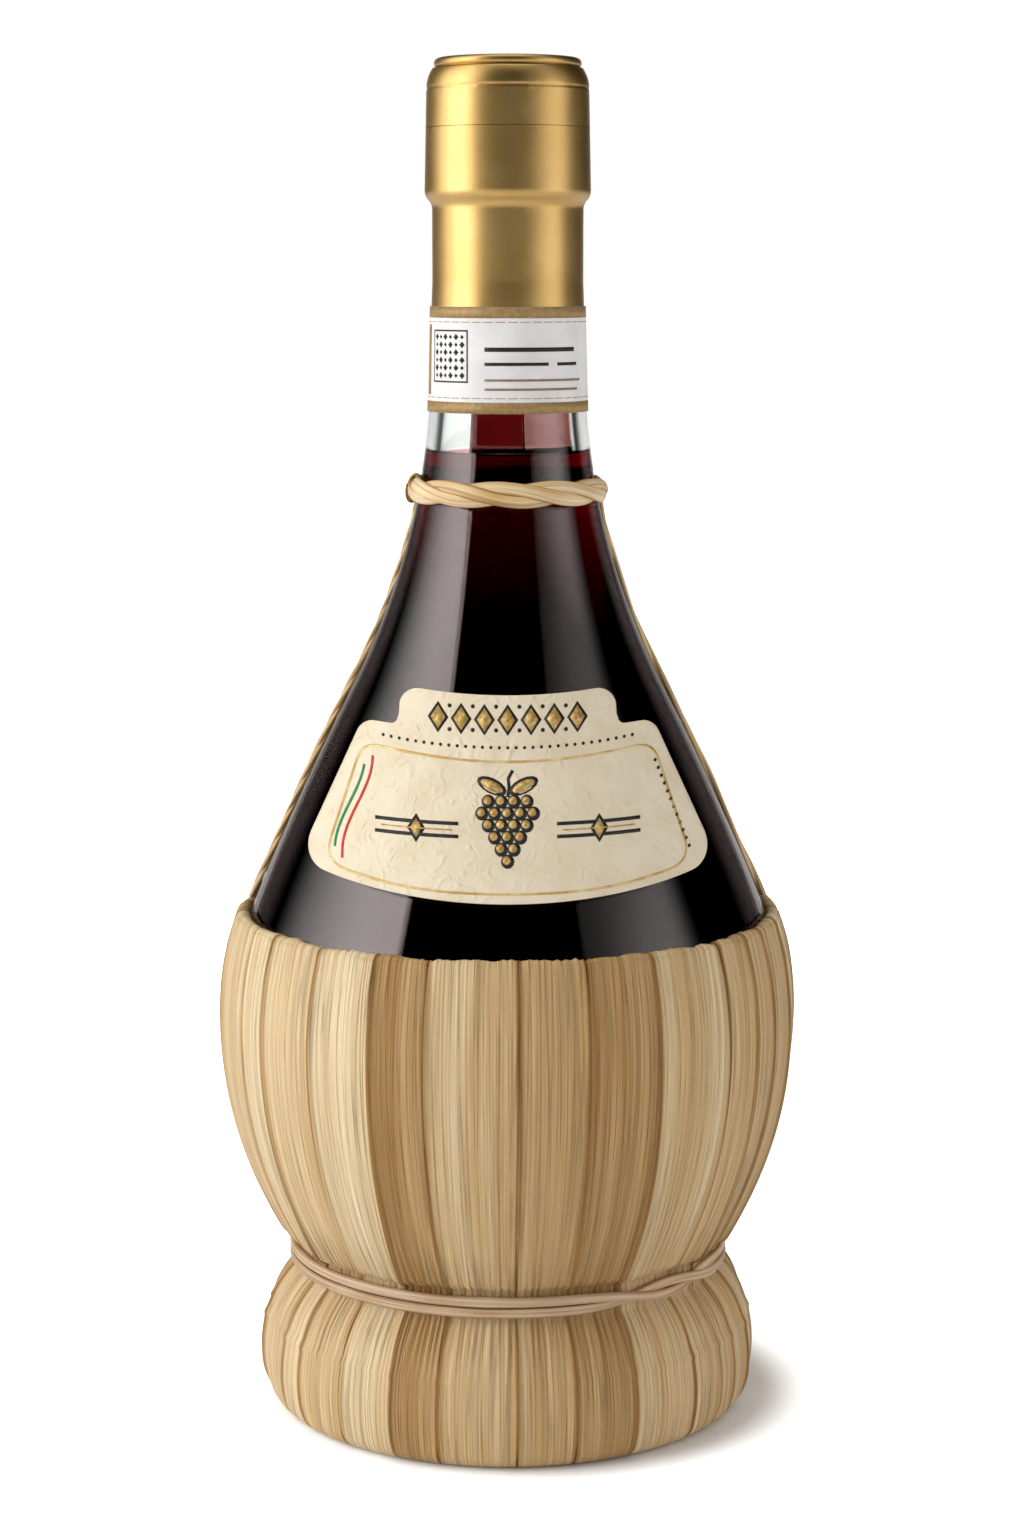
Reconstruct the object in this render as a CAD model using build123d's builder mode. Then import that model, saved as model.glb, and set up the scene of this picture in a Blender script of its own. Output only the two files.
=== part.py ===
from build123d import *
from math import acos, asin, atan2, cos, degrees, hypot, radians, sin, sqrt, tan
import os

os.makedirs("parts", exist_ok=True)

# Straw-covered wine flask. Millimetres, +Z up. The origin is the middle of the straw foot, on the surface
# that it stands on. The front label faces -Y, and azimuths turn from the front towards +X.
front_turn = -90.0
full_turn = 360.0

# Clearances and the overrun that every cut shares
seat_gap = 0.3
glue_gap = 0.05
cork_clearance = 0.05
cut_overrun = 5.0

# Glass flask, body: its widest radius, the radii of the curves that its side is made of, the round bottom
# with its small flat, and the height of that flat above the table
belly_radius = 54.8
shoulder_curve_radius = 47.0
flank_curve_radius = 600.0
neck_curve_radius = 138.0
lower_curve_radius = 81.0
heel_turn = 22.0
bottom_flat_radius = 8.1
bottom_height = 19.635
glass_thickness = 2.75

# Glass flask, neck: each height is measured from the end of the one before it, the first from the belly
flank_height = 122.5
neck_taper_height = 19.0
neck_straight_height = 13.5
step_height = 3.5
band_height = 18.8
lip_round_height = 2.2
bore_radius = 9.25
bore_tail_height = 5.0
neck_thickness = 4.8
neck_taper_depth = 0.7
band_swell_depth = 1.4
band_taper_depth = 0.4
lip_inset_depth = 1.55
mouth_chamfer = 0.8

# Wine, from the lip down to its level, and the cork
fill_drop_height = 70.6
wine_gap = 0.05
cork_length = 38.0
cork_recess_depth = 0.6
cork_chamfer = 0.7

# Metal capsule over the mouth. The tear line is measured down from the start of the lip.
capsule_thickness = 0.15
capsule_gap = 0.15
tear_drop_height = 7.2
tear_gap = 0.1
capsule_overlap_height = 3.0
capsule_rise_height = 1.6
capsule_shoulder_depth = 1.15
capsule_flange_width = 5.0
disc_inset_depth = 0.3
disc_height = 1.9
disc_edge_radius = 1.4
disc_recess_depth = 0.3
disc_rim_width = 2.2
disc_thickness = 0.4

# Paper strip round the neck, measured down from the step, and front label, from the belly up. The label's
# half widths are shares of the belly's radius, from its low corners to the top of its tab.
strip_drop_height = 18.1
strip_height = 19.8
strip_thickness = 0.12
label_thickness = 0.2
label_rise_height = 30.2
label_bow_height = 4.1
label_side_height = 25.9
label_tab_height = 6.6
label_width_shares = (0.719, 0.5, 0.3905, 0.3139)
label_corner_radius = 5.0
label_tab_radius = 1.6

# Twisted straw collar, measured down from the strip, and the two carrying straps, with each strap's azimuth
# at its top and at its foot
collar_drop_height = 15.0
collar_width = 5.4
collar_depth = 1.9
collar_gap = 0.15
strap_diameter = 1.7
strap_gap = 0.15
strap_foot_height = 0.9
strap_right_azimuths = (90.0, 90.0)
strap_left_azimuths = (-118.0, -97.0)
strap_runs = 8
run_share = 0.45

# Straw basket: blades that fold over a hoop at the rim and turn under the foot ring
blade_thickness = 0.7
blade_seam = 0.25
rim_rise_height = 21.3
hoop_diameter = 0.7
hoop_gap = 0.05
fold_length = 5.0
fold_gap = 0.334
waist_height = 30.4
waist_gap = 0.9
waist_shoulder_height = 1.3
crease_height = 17.2
crease_bow_depth = 0.9
foot_flare_width = 6.8
foot_height = 10.3
foot_curve_radius = 28.0
foot_round_radius = 4.5
foot_flat_width = 4.2
tuck_round_radius = 4.0
tuck_height = 12.0

# Seams between the blades, as shares of a full turn from the front towards +X
seam_shares = (
    0.006, 0.043, 0.083, 0.132, 0.158, 0.180, 0.208, 0.247, 0.287, 0.329, 0.365, 0.409, 0.452,
    0.489, 0.530, 0.573, 0.611, 0.655, 0.694, 0.732, 0.769, 0.820, 0.847, 0.886, 0.925, 0.956,
)

# Cane tie at the waist
tie_diameter = 1.65
tie_strand_gap = 0.45
tie_gap = 0.1
tie_turns = 2


def meet(first, first_radius, second, second_radius):
    """Crossing of two circles in the profile plane, the one nearer the axis."""
    span = hypot(second[0] - first[0], second[1] - first[1])
    along = (first_radius**2 - second_radius**2 + span**2) / (2 * span)
    aside = sqrt(first_radius**2 - along**2)
    unit = ((second[0] - first[0]) / span, (second[1] - first[1]) / span)
    foot = (first[0] + along * unit[0], first[1] + along * unit[1])
    ends = [
        (foot[0] - side * aside * unit[1], foot[1] + side * aside * unit[0]) for side in (1, -1)
    ]
    return min(ends)


def heading(start, end):
    """Angle of the line between two profile points, in degrees from 0 to a full turn."""
    return degrees(atan2(end[1] - start[1], end[0] - start[0])) % full_turn


def polar(centre, radius, angle):
    """Profile point at an angle about a centre."""
    return (centre[0] + radius * cos(radians(angle)), centre[1] + radius * sin(radians(angle)))


# Heights and radii of the neck, from the body up. The round bottom runs on from the heel to its flat.
heel_radius = belly_radius - lower_curve_radius * (1 - cos(radians(heel_turn)))
bottom_curve_radius = (heel_radius - bottom_flat_radius) / cos(radians(heel_turn))
heel_height = bottom_height + bottom_curve_radius * (1 - sin(radians(heel_turn)))
belly_height = heel_height + lower_curve_radius * sin(radians(heel_turn))
neck_low_height = belly_height + flank_height
neck_top_height = neck_low_height + neck_taper_height
step_low_height = neck_top_height + neck_straight_height
step_high_height = step_low_height + step_height
lip_start_height = step_high_height + band_height
lip_height = lip_start_height + lip_round_height
neck_radius = bore_radius + neck_thickness
neck_low_radius = neck_radius + neck_taper_depth
band_low_radius = neck_radius + band_swell_depth
band_top_radius = band_low_radius - band_taper_depth
lip_radius = band_top_radius - lip_inset_depth

# Centres of the arcs of the flask's side. The concave neck arc starts along the neck's taper, the long
# flank arc touches it and the shoulder arc, and the lower arc runs on into the round bottom.
taper = degrees(atan2(neck_taper_depth, neck_taper_height))
neck_centre = polar((neck_low_radius, neck_low_height), neck_curve_radius, taper)
shoulder_centre = (belly_radius - shoulder_curve_radius, belly_height)
flank_centre = meet(
    neck_centre,
    neck_curve_radius + flank_curve_radius,
    shoulder_centre,
    flank_curve_radius - shoulder_curve_radius,
)
flank_top_angle = heading(flank_centre, neck_centre)
flank_low_angle = heading(flank_centre, shoulder_centre)
neck_start_angle = full_turn / 2 + taper
neck_end_angle = full_turn / 2 + flank_top_angle
lower_centre = (belly_radius - lower_curve_radius, belly_height)
bottom_centre = (bottom_flat_radius, bottom_height + bottom_curve_radius)


def glass_radius(height, lift):
    """Radius of the flask's side at a height between its rim and its neck, with a lift off the glass."""
    if height >= polar(flank_centre, flank_curve_radius + lift, flank_top_angle)[1]:
        reach = neck_curve_radius - lift
        return neck_centre[0] - sqrt(reach**2 - (height - neck_centre[1]) ** 2)
    if height >= polar(flank_centre, flank_curve_radius + lift, flank_low_angle)[1]:
        reach = flank_curve_radius + lift
        return flank_centre[0] + sqrt(reach**2 - (height - flank_centre[1]) ** 2)
    reach = shoulder_curve_radius + lift
    return shoulder_centre[0] + sqrt(reach**2 - (height - shoulder_centre[1]) ** 2)


def neck_radius_at(height):
    """Radius of the tapered neck at a height."""
    share = (height - neck_low_height) / (neck_top_height - neck_low_height)
    return neck_low_radius + (neck_radius - neck_low_radius) * min(share, 1)


def bottom_radius_at(height):
    """Radius of the flask's round bottom at a height."""
    return bottom_centre[0] + sqrt(bottom_curve_radius**2 - (height - bottom_centre[1]) ** 2)


def flank_side(lift):
    """Draws the concave neck arc and the long flank arc, lifted off the glass."""
    CenterArc(
        neck_centre, neck_curve_radius - lift, neck_start_angle, neck_end_angle - neck_start_angle
    )
    CenterArc(
        flank_centre, flank_curve_radius + lift, flank_low_angle, flank_top_angle - flank_low_angle
    )


def flask_side(lift):
    """Draws the flask's side from the foot of its neck to the middle of its bottom, lifted off the glass."""
    flank_side(lift)
    CenterArc(shoulder_centre, shoulder_curve_radius + lift, 0, flank_low_angle)
    CenterArc(lower_centre, lower_curve_radius + lift, -heel_turn, heel_turn)
    CenterArc(bottom_centre, bottom_curve_radius + lift, -full_turn / 4, full_turn / 4 - heel_turn)
    Line((bottom_flat_radius, bottom_height - lift), (0, bottom_height - lift))


def mouth_step(lift, low_height):
    """Draws the neck from a height up over the step to the start of the lip, lifted off the glass."""
    low_radius = neck_radius_at(low_height) + lift
    if low_height < neck_top_height:
        Line((low_radius, low_height), (neck_radius + lift, neck_top_height))
    base = (neck_radius + lift, step_low_height)
    crest = (band_low_radius + lift, step_high_height)
    middle = ((base[0] + crest[0]) / 2, (base[1] + crest[1]) / 2)
    Line((neck_radius + lift, max(neck_top_height, low_height)), base)
    rise = TangentArc(base, middle, tangent=(0, 1))
    TangentArc(middle, crest, tangent=rise % 1)
    return crest


def band_radius_at(height):
    """Radius of the glass band below the lip at a height."""
    share = (height - step_high_height) / (lip_start_height - step_high_height)
    return band_low_radius + (band_top_radius - band_low_radius) * share


# Glass flask: one shell of revolution, thick at the neck, with a band under the lip and a round bottom
bore_low_height = neck_top_height - bore_tail_height
inside_neck = polar(neck_centre, neck_curve_radius + glass_thickness, neck_start_angle)
with BuildPart() as glass_flask:
    with BuildSketch(Plane.XZ):
        with BuildLine():
            flask_side(0)
            crest = mouth_step(0, neck_low_height)
            Line(crest, (band_top_radius, lip_start_height))
            lip = TangentArc(
                (band_top_radius, lip_start_height), (lip_radius, lip_height), tangent=(0, 1)
            )
            Line(lip @ 1, (bore_radius + mouth_chamfer, lip_height))
            Line((bore_radius + mouth_chamfer, lip_height), (bore_radius, lip_height - mouth_chamfer))
            Line((bore_radius, lip_height - mouth_chamfer), (bore_radius, bore_low_height))
            Line((bore_radius, bore_low_height), inside_neck)
            flask_side(-glass_thickness)
            Line((0, bottom_height), (0, bottom_height + glass_thickness))
        make_face()
    revolve(axis=Axis.Z)
glass_flask.part.label = "glass_flask"
export_step(glass_flask.part, "parts/glass_flask.step")

# Wine: the flask's inside up to the fill level
wine_lift = -glass_thickness - wine_gap
wine_level = lip_height - fill_drop_height
with BuildPart() as wine:
    with BuildSketch(Plane.XZ):
        with BuildLine():
            flask_side(wine_lift)
            top = polar(neck_centre, neck_curve_radius - wine_lift, neck_start_angle)
            Line(top, (0, top[1]))
            Line((0, top[1]), (0, bottom_height - wine_lift))
        make_face()
    revolve(axis=Axis.Z)
    split(bisect_by=Plane.XY.offset(wine_level), keep=Keep.BOTTOM)
wine.part.label = "wine"
export_step(wine.part, "parts/wine.step")
print(f"wine {wine.part.volume / 1000:.0f} ml, flask glass {glass_flask.part.volume / 1000:.0f} ml")

# Cork stopper in the bore
cork_top = lip_height - cork_recess_depth
cork_low = cork_top - cork_length
cork_radius = bore_radius - cork_clearance
with BuildPart() as cork_stopper:
    with BuildSketch(Plane.XY.offset(cork_low)):
        Circle(cork_radius)
    extrude(amount=cork_length)
    chamfer(cork_stopper.edges().filter_by(GeomType.CIRCLE), cork_chamfer)
cork_stopper.part.label = "cork_stopper"
export_step(cork_stopper.part, "parts/cork_stopper.step")

# Capsule skirt: the part of the capsule below the tear line, which stays on the neck
strip_top_height = step_low_height - strip_drop_height
tear_height = lip_start_height - tear_drop_height
capsule_low_height = strip_top_height - capsule_overlap_height
capsule_lift = capsule_gap + capsule_thickness
skirt_top = tear_height - tear_gap / 2
with BuildPart() as capsule_skirt:
    with BuildSketch(Plane.XZ):
        with BuildLine():
            outer_crest = mouth_step(capsule_lift, capsule_low_height)
            inner_crest = mouth_step(capsule_gap, capsule_low_height)
            top_radius = band_radius_at(skirt_top)
            Line(outer_crest, (top_radius + capsule_lift, skirt_top))
            Line((top_radius + capsule_lift, skirt_top), (top_radius + capsule_gap, skirt_top))
            Line((top_radius + capsule_gap, skirt_top), inner_crest)
            low_radius = neck_radius_at(capsule_low_height)
            Line(
                (low_radius + capsule_gap, capsule_low_height),
                (low_radius + capsule_lift, capsule_low_height),
            )
        make_face()
    revolve(axis=Axis.Z)
capsule_skirt.part.label = "capsule_skirt"
export_step(capsule_skirt.part, "parts/capsule_skirt.step")

# Capsule cap: the part above the tear line, folded inwards over the mouth
cap_low = tear_height + tear_gap / 2
cap_low_radius = band_radius_at(cap_low)
capsule_shoulder_height = lip_height + capsule_rise_height
capsule_shoulder_radius = band_top_radius + capsule_lift - capsule_shoulder_depth
flange_radius = capsule_shoulder_radius - capsule_flange_width
cap_inner_height = capsule_shoulder_height - capsule_thickness
cap_inner_radius = capsule_shoulder_radius - capsule_thickness
with BuildPart() as capsule_cap:
    with BuildSketch(Plane.XZ):
        with BuildLine():
            Line(
                (cap_low_radius + capsule_lift, cap_low),
                (band_top_radius + capsule_lift, lip_start_height),
            )
            shoulder = TangentArc(
                (band_top_radius + capsule_lift, lip_start_height),
                (capsule_shoulder_radius, capsule_shoulder_height),
                tangent=(0, 1),
            )
            Line(shoulder @ 1, (flange_radius, capsule_shoulder_height))
            Line((flange_radius, capsule_shoulder_height), (flange_radius, cap_inner_height))
            Line((flange_radius, cap_inner_height), (cap_inner_radius, cap_inner_height))
            TangentArc(
                (band_top_radius + capsule_gap, lip_start_height),
                (cap_inner_radius, cap_inner_height),
                tangent=(0, 1),
            )
            Line((band_top_radius + capsule_gap, lip_start_height), (cap_low_radius + capsule_gap, cap_low))
            Line((cap_low_radius + capsule_gap, cap_low), (cap_low_radius + capsule_lift, cap_low))
        make_face()
    revolve(axis=Axis.Z)
capsule_cap.part.label = "capsule_cap"
export_step(capsule_cap.part, "parts/capsule_cap.step")

# Capsule disc: the pressed disc on top of the cap, with a rounded edge and a slightly sunk middle
disc_radius = capsule_shoulder_radius - disc_inset_depth
disc_low = capsule_shoulder_height
disc_top = disc_low + disc_height
dish_height = disc_top - disc_recess_depth
dish_radius = disc_radius - disc_rim_width
with BuildPart() as capsule_disc:
    with BuildSketch(Plane.XZ):
        with BuildLine():
            edge = Line((disc_radius, disc_low), (disc_radius, disc_top - disc_edge_radius))
            bend = TangentArc(edge @ 1, (disc_radius - disc_edge_radius, disc_top), tangent=(0, 1))
            crown = Line(bend @ 1, (dish_radius, disc_top))
            dish = Line(crown @ 1, (dish_radius - disc_recess_depth, dish_height))
            field = Line(dish @ 1, (0, dish_height))
            under = Line(field @ 1, (0, dish_height - disc_thickness))
            below = Line(under @ 1, (dish_radius, dish_height - disc_thickness))
            foot = Line(below @ 1, (dish_radius, disc_low))
            Line(foot @ 1, edge @ 0)
        make_face()
    revolve(axis=Axis.Z)
capsule_disc.part.label = "capsule_disc"
export_step(capsule_disc.part, "parts/capsule_disc.step")

# Seal strip: a paper band that laps over the capsule's lower edge
strip_low_height = strip_top_height - strip_height
strip_top_radius = neck_radius_at(capsule_low_height) + capsule_lift + glue_gap
strip_low_radius = glass_radius(strip_low_height, 0) + glue_gap
with BuildPart() as seal_strip:
    with BuildSketch(Plane.XZ):
        with BuildLine():
            Polyline(
                (strip_low_radius, strip_low_height),
                (strip_top_radius, strip_top_height),
                (strip_top_radius + strip_thickness, strip_top_height),
                (strip_low_radius + strip_thickness, strip_low_height),
                close=True,
            )
        make_face()
    revolve(axis=Axis.Z)
seal_strip.part.label = "seal_strip"
export_step(seal_strip.part, "parts/seal_strip.step")

# Front label: the part of a thin paper shell on the flank that lies behind the label's outline
label_low_height = belly_height + label_rise_height
label_corner_height = label_low_height + label_bow_height
label_shoulder_height = label_corner_height + label_side_height
tab_top_height = label_shoulder_height + label_tab_height
low_half, high_half, tab_low_half, tab_half = [belly_radius * share for share in label_width_shares]
with BuildPart() as front_label:
    with BuildSketch(Plane.XZ):
        with BuildLine():
            flank_side(glue_gap)
            flank_side(glue_gap + label_thickness)
            Line(
                polar(neck_centre, neck_curve_radius - glue_gap, neck_start_angle),
                polar(neck_centre, neck_curve_radius - glue_gap - label_thickness, neck_start_angle),
            )
            Line(
                polar(flank_centre, flank_curve_radius + glue_gap, flank_low_angle),
                polar(flank_centre, flank_curve_radius + glue_gap + label_thickness, flank_low_angle),
            )
        make_face()
    revolve(axis=Axis.Z)
    with BuildSketch(Plane.XZ) as label_outline:
        with BuildLine():
            Line((0, tab_top_height), (tab_half, tab_top_height))
            Line((tab_half, tab_top_height), (tab_low_half, label_shoulder_height))
            Line((tab_low_half, label_shoulder_height), (high_half, label_shoulder_height))
            Line((high_half, label_shoulder_height), (low_half, label_corner_height))
            TangentArc((0, label_low_height), (low_half, label_corner_height), tangent=(1, 0))
            mirror(about=Plane.YZ)
        make_face()
        corners = label_outline.vertices().filter_by(lambda spot: abs(spot.X) > tab_half / 2)
        fillet(corners.sort_by(Axis.Z)[:2], label_corner_radius)
        corners = label_outline.vertices().filter_by(
            lambda spot: spot.Z > label_shoulder_height - label_thickness
        )
        fillet(corners, label_tab_radius)
    extrude(amount=belly_radius + cut_overrun, mode=Mode.INTERSECT)
front_label.part.label = "front_label"
export_step(front_label.part, "parts/front_label.step")


# Neck collar: the plain body of the twisted straw ring, leaning with the neck
collar_height = strip_low_height - collar_drop_height
collar_angle = heading(neck_centre, (glass_radius(collar_height, 0), collar_height))
collar_middle = polar(neck_centre, neck_curve_radius - collar_gap - collar_depth / 2, collar_angle)
rim_height = belly_height + rim_rise_height
with BuildPart() as neck_collar:
    with BuildSketch(Plane.XZ):
        with Locations(collar_middle):
            Ellipse(collar_depth / 2, collar_width / 2, rotation=collar_angle - full_turn / 2)
    revolve(axis=Axis.Z)
neck_collar.part.label = "neck_collar"
export_step(neck_collar.part, "parts/neck_collar.step")


def strap_points(azimuths):
    """Points of a strap's route down the flank, from under the collar to the rim."""
    top = collar_middle[1] - collar_width / 2 - strap_gap
    foot = rim_height + strap_foot_height
    lift = strap_gap + strap_diameter / 2
    points = []
    for run in range(strap_runs + 1):
        share = run / strap_runs
        height = top + (foot - top) * share
        angle = radians(front_turn + azimuths[0] + (azimuths[1] - azimuths[0]) * share)
        radius = glass_radius(height, lift)
        points.append(Vector(radius * cos(angle), radius * sin(angle), height))
    return points


def corner_radii(points):
    """Radius at each inner point of a route, as large as its two runs allow."""
    runs = [end - start for start, end in zip(points, points[1:])]
    return [
        run_share * min(first.length, second.length) / tan(radians(first.get_angle(second) / 2))
        for first, second in zip(runs, runs[1:])
    ]


# Carrying straps: each is held along the flank, from the collar to the rim of the basket
for strap_name, azimuths in (("strap_right", strap_right_azimuths), ("strap_left", strap_left_azimuths)):
    points = strap_points(azimuths)
    radii = corner_radii(points)
    with BuildPart() as strap:
        with BuildLine() as route:
            FilletPolyline(*points, radius=radii)
        with BuildSketch(Plane(origin=route.line @ 0, z_dir=route.line % 0)):
            Circle(strap_diameter / 2)
        sweep()
    strap.part.label = strap_name
    export_step(strap.part, f"parts/{strap_name}.step")
    print(strap_name, "smallest radius", round(min(radii), 1), "length", round(route.wires()[0].length, 1))

# Profile of the straw. The blades follow the flask at a gap and fold over the hoop at the rim, where the
# folded leaf lies along the glass. They are drawn in by the tie at the waist and run over the foot ring to
# a flat underside.
basket_lift = seat_gap + blade_thickness
basket_radius = belly_radius + basket_lift
fold_radius = hoop_diameter / 2 + hoop_gap + blade_thickness
fold_height = rim_height - fold_radius
fold_centre = (glass_radius(fold_height, 0) + fold_gap + fold_radius, fold_height)
fold_rise = fold_height - belly_height
fold_inset = basket_radius - fold_centre[0]
basket_curve_radius = (fold_inset**2 + fold_rise**2 - fold_radius**2) / (2 * (fold_inset - fold_radius))
basket_centre = (basket_radius - basket_curve_radius, belly_height)
fold_angle = heading(basket_centre, fold_centre)
fold_tilt = degrees(asin((fold_rise - fold_length / 2) / shoulder_curve_radius))
tie_pitch = tie_diameter + tie_strand_gap
waist_band_height = tie_turns * tie_pitch + tie_diameter
waist_top = waist_height + waist_band_height / 2
waist_low = waist_height - waist_band_height / 2
waist_radius = bottom_radius_at(waist_top) + waist_gap + blade_thickness
blade_curve_radius = lower_curve_radius + basket_lift
waist_angle = degrees(asin((waist_top + waist_shoulder_height - belly_height) / blade_curve_radius))
foot_radius = waist_radius + foot_flare_width
foot_centre = (foot_radius - foot_curve_radius, foot_height)
crease_angle = degrees(asin((crease_height - foot_height) / foot_curve_radius))
round_angle = -degrees(asin((foot_height - foot_round_radius) / (foot_curve_radius - foot_round_radius)))
round_centre = polar(foot_centre, foot_curve_radius - foot_round_radius, round_angle)
tuck_centre = (round_centre[0] - foot_flat_width, tuck_round_radius)


def foot_side(lift):
    """Draws the straw's side from the waist down round the foot to the tuck, lifted off the outer face."""
    waist = (waist_radius + lift, waist_low)
    crease = polar(foot_centre, foot_curve_radius + lift, crease_angle)
    SagittaArc(waist, crease, crease_bow_depth)
    CenterArc(foot_centre, foot_curve_radius + lift, round_angle, crease_angle - round_angle)
    CenterArc(round_centre, foot_round_radius + lift, -full_turn / 4, full_turn / 4 + round_angle)
    Line((round_centre[0], -lift), (tuck_centre[0], -lift))
    CenterArc(tuck_centre, tuck_round_radius + lift, -full_turn / 2, full_turn / 4)


def blade_side(lift):
    """Draws one face of a blade from the end of its fold to its tuck, lifted off the outer face."""
    inner = polar(fold_centre, fold_radius + lift, full_turn / 2 + fold_tilt)
    Line(inner, fold_end(lift))
    CenterArc(fold_centre, fold_radius + lift, fold_angle, full_turn / 2 + fold_tilt - fold_angle)
    CenterArc(basket_centre, basket_curve_radius + lift, 0, fold_angle)
    CenterArc(lower_centre, blade_curve_radius + lift, waist_angle, -waist_angle)
    Line(polar(lower_centre, blade_curve_radius + lift, waist_angle), (waist_radius + lift, waist_top))
    Line((waist_radius + lift, waist_top), (waist_radius + lift, waist_low))
    foot_side(lift)
    tail = tuck_centre[0] - tuck_round_radius - lift
    Line((tail, tuck_round_radius), (tail, tuck_height))


def fold_end(lift):
    """End of the folded leaf inside the rim, on the face with the given lift."""
    inner = polar(fold_centre, fold_radius + lift, full_turn / 2 + fold_tilt)
    return polar(inner, fold_length, fold_tilt - full_turn / 4)


# Straw blades: sectors of the straw's profile, of uneven width, with a dark seam between neighbours
seam_angle = degrees(blade_seam / basket_radius)
for number, start_share in enumerate(seam_shares, 1):
    end_share = seam_shares[number] if number < len(seam_shares) else 1 + seam_shares[0]
    span = (end_share - start_share) * full_turn - seam_angle
    turn = radians(front_turn + start_share * full_turn + seam_angle / 2)
    side_plane = Plane((0, 0, 0), x_dir=(cos(turn), sin(turn), 0), z_dir=(sin(turn), -cos(turn), 0))
    with BuildPart() as blade:
        with BuildSketch(side_plane):
            with BuildLine():
                blade_side(0)
                blade_side(-blade_thickness)
                Line(fold_end(0), fold_end(-blade_thickness))
                tail = tuck_centre[0] - tuck_round_radius
                Line((tail, tuck_height), (tail + blade_thickness, tuck_height))
            make_face()
        revolve(axis=Axis.Z, revolution_arc=span)
    blade.part.label = f"blade_{number:02d}"
    export_step(blade.part, f"parts/blade_{number:02d}.step")

# Rim hoop inside the fold
with BuildPart() as rim_hoop:
    with BuildSketch(Plane.XZ):
        with Locations(fold_centre):
            Circle(hoop_diameter / 2)
    revolve(axis=Axis.Z)
rim_hoop.part.label = "rim_hoop"
export_step(rim_hoop.part, "parts/rim_hoop.step")

# Foot ring: the straw ring inside the foot, which the round bottom of the flask sits in
ring_lift = -blade_thickness - seat_gap
ring_inner = tuck_centre[0] - tuck_round_radius - ring_lift
ring_outer = waist_radius + ring_lift
seat_curve_radius = bottom_curve_radius + seat_gap
seat_low_angle = -degrees(acos((ring_inner - bottom_centre[0]) / seat_curve_radius))
seat_high_angle = -degrees(acos((ring_outer - bottom_centre[0]) / seat_curve_radius))
with BuildPart() as foot_ring:
    with BuildSketch(Plane.XZ):
        with BuildLine():
            seat = CenterArc(
                bottom_centre, seat_curve_radius, seat_low_angle, seat_high_angle - seat_low_angle
            )
            Line(seat @ 1, (ring_outer, waist_low))
            foot_side(ring_lift)
            Line((ring_inner, tuck_round_radius), seat @ 0)
        make_face()
    revolve(axis=Axis.Z)
foot_ring.part.label = "foot_ring"
export_step(foot_ring.part, "parts/foot_ring.step")

# Waist tie: one cane wound round the waist. It runs level in front and climbs a pitch behind, where it ends.
tie_radius = waist_radius + tie_gap + tie_diameter / 2
tie_first_level = waist_height - tie_pitch * (tie_turns - 1) / 2


def tie_point(angle, level):
    """Point of the tie's middle line at an angle from +X and a level."""
    return Vector(tie_radius * cos(radians(angle)), tie_radius * sin(radians(angle)), level)


quarter = full_turn / 4
with BuildPart() as waist_tie:
    with BuildLine() as tie_route:
        for turn in range(tie_turns):
            level = tie_first_level + turn * tie_pitch
            front_half = ThreePointArc(
                tie_point(2 * quarter, level), tie_point(3 * quarter, level), tie_point(0, level)
            )
            if turn == 0:
                lead_in = TangentArc(
                    tie_point(2 * quarter, level),
                    tie_point(quarter, level - tie_pitch / 2),
                    tangent=front_half % 0 * -1,
                )
                Line(lead_in @ 1, lead_in @ 1 + lead_in % 1 * tie_diameter)
            if turn < tie_turns - 1:
                ThreePointArc(
                    tie_point(0, level),
                    tie_point(quarter, level + tie_pitch / 2),
                    tie_point(2 * quarter, level + tie_pitch),
                )
        lead_out = TangentArc(
            tie_point(0, level), tie_point(quarter, level + tie_pitch / 2), tangent=front_half % 1
        )
        Line(lead_out @ 1, lead_out @ 1 + lead_out % 1 * tie_diameter)
    tie_start = tie_route.wires()[0]
    with BuildSketch(Plane(origin=tie_start @ 0, z_dir=tie_start % 0)):
        Circle(tie_diameter / 2)
    sweep(path=tie_start)
waist_tie.part.label = "waist_tie"
export_step(waist_tie.part, "parts/waist_tie.step")

# Least gap of the tie to itself, between points more than an eighth of a turn apart along it
samples = 480
apart_turns = 0.125
path = [tie_start @ (step / samples) for step in range(samples + 1)]
apart = round(samples / tie_turns * apart_turns)
least = min(
    (path[late] - path[early]).length
    for early in range(samples - apart)
    for late in range(early + apart, samples + 1)
)
print(f"tie: least gap to itself {least - tie_diameter:.2f} mm, length {tie_start.length:.0f} mm")
print(f"height {disc_top:.2f} mm, belly {belly_height:.2f} mm")
print(f"wine level {wine_level:.2f} mm, rim {rim_height:.2f} mm")
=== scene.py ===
"""Straw-covered wine flask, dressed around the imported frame.

Sizes are millimetres in the classes and metres in the meshes. The front label faces -Y, and azimuths are
degrees that turn from the front towards +X.
"""

from __future__ import annotations

import logging
import math
from dataclasses import dataclass, field
from enum import Enum
from functools import partial
from typing import Callable, Sequence

import bmesh
import bpy
from mathutils import Euler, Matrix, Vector, noise

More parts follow.
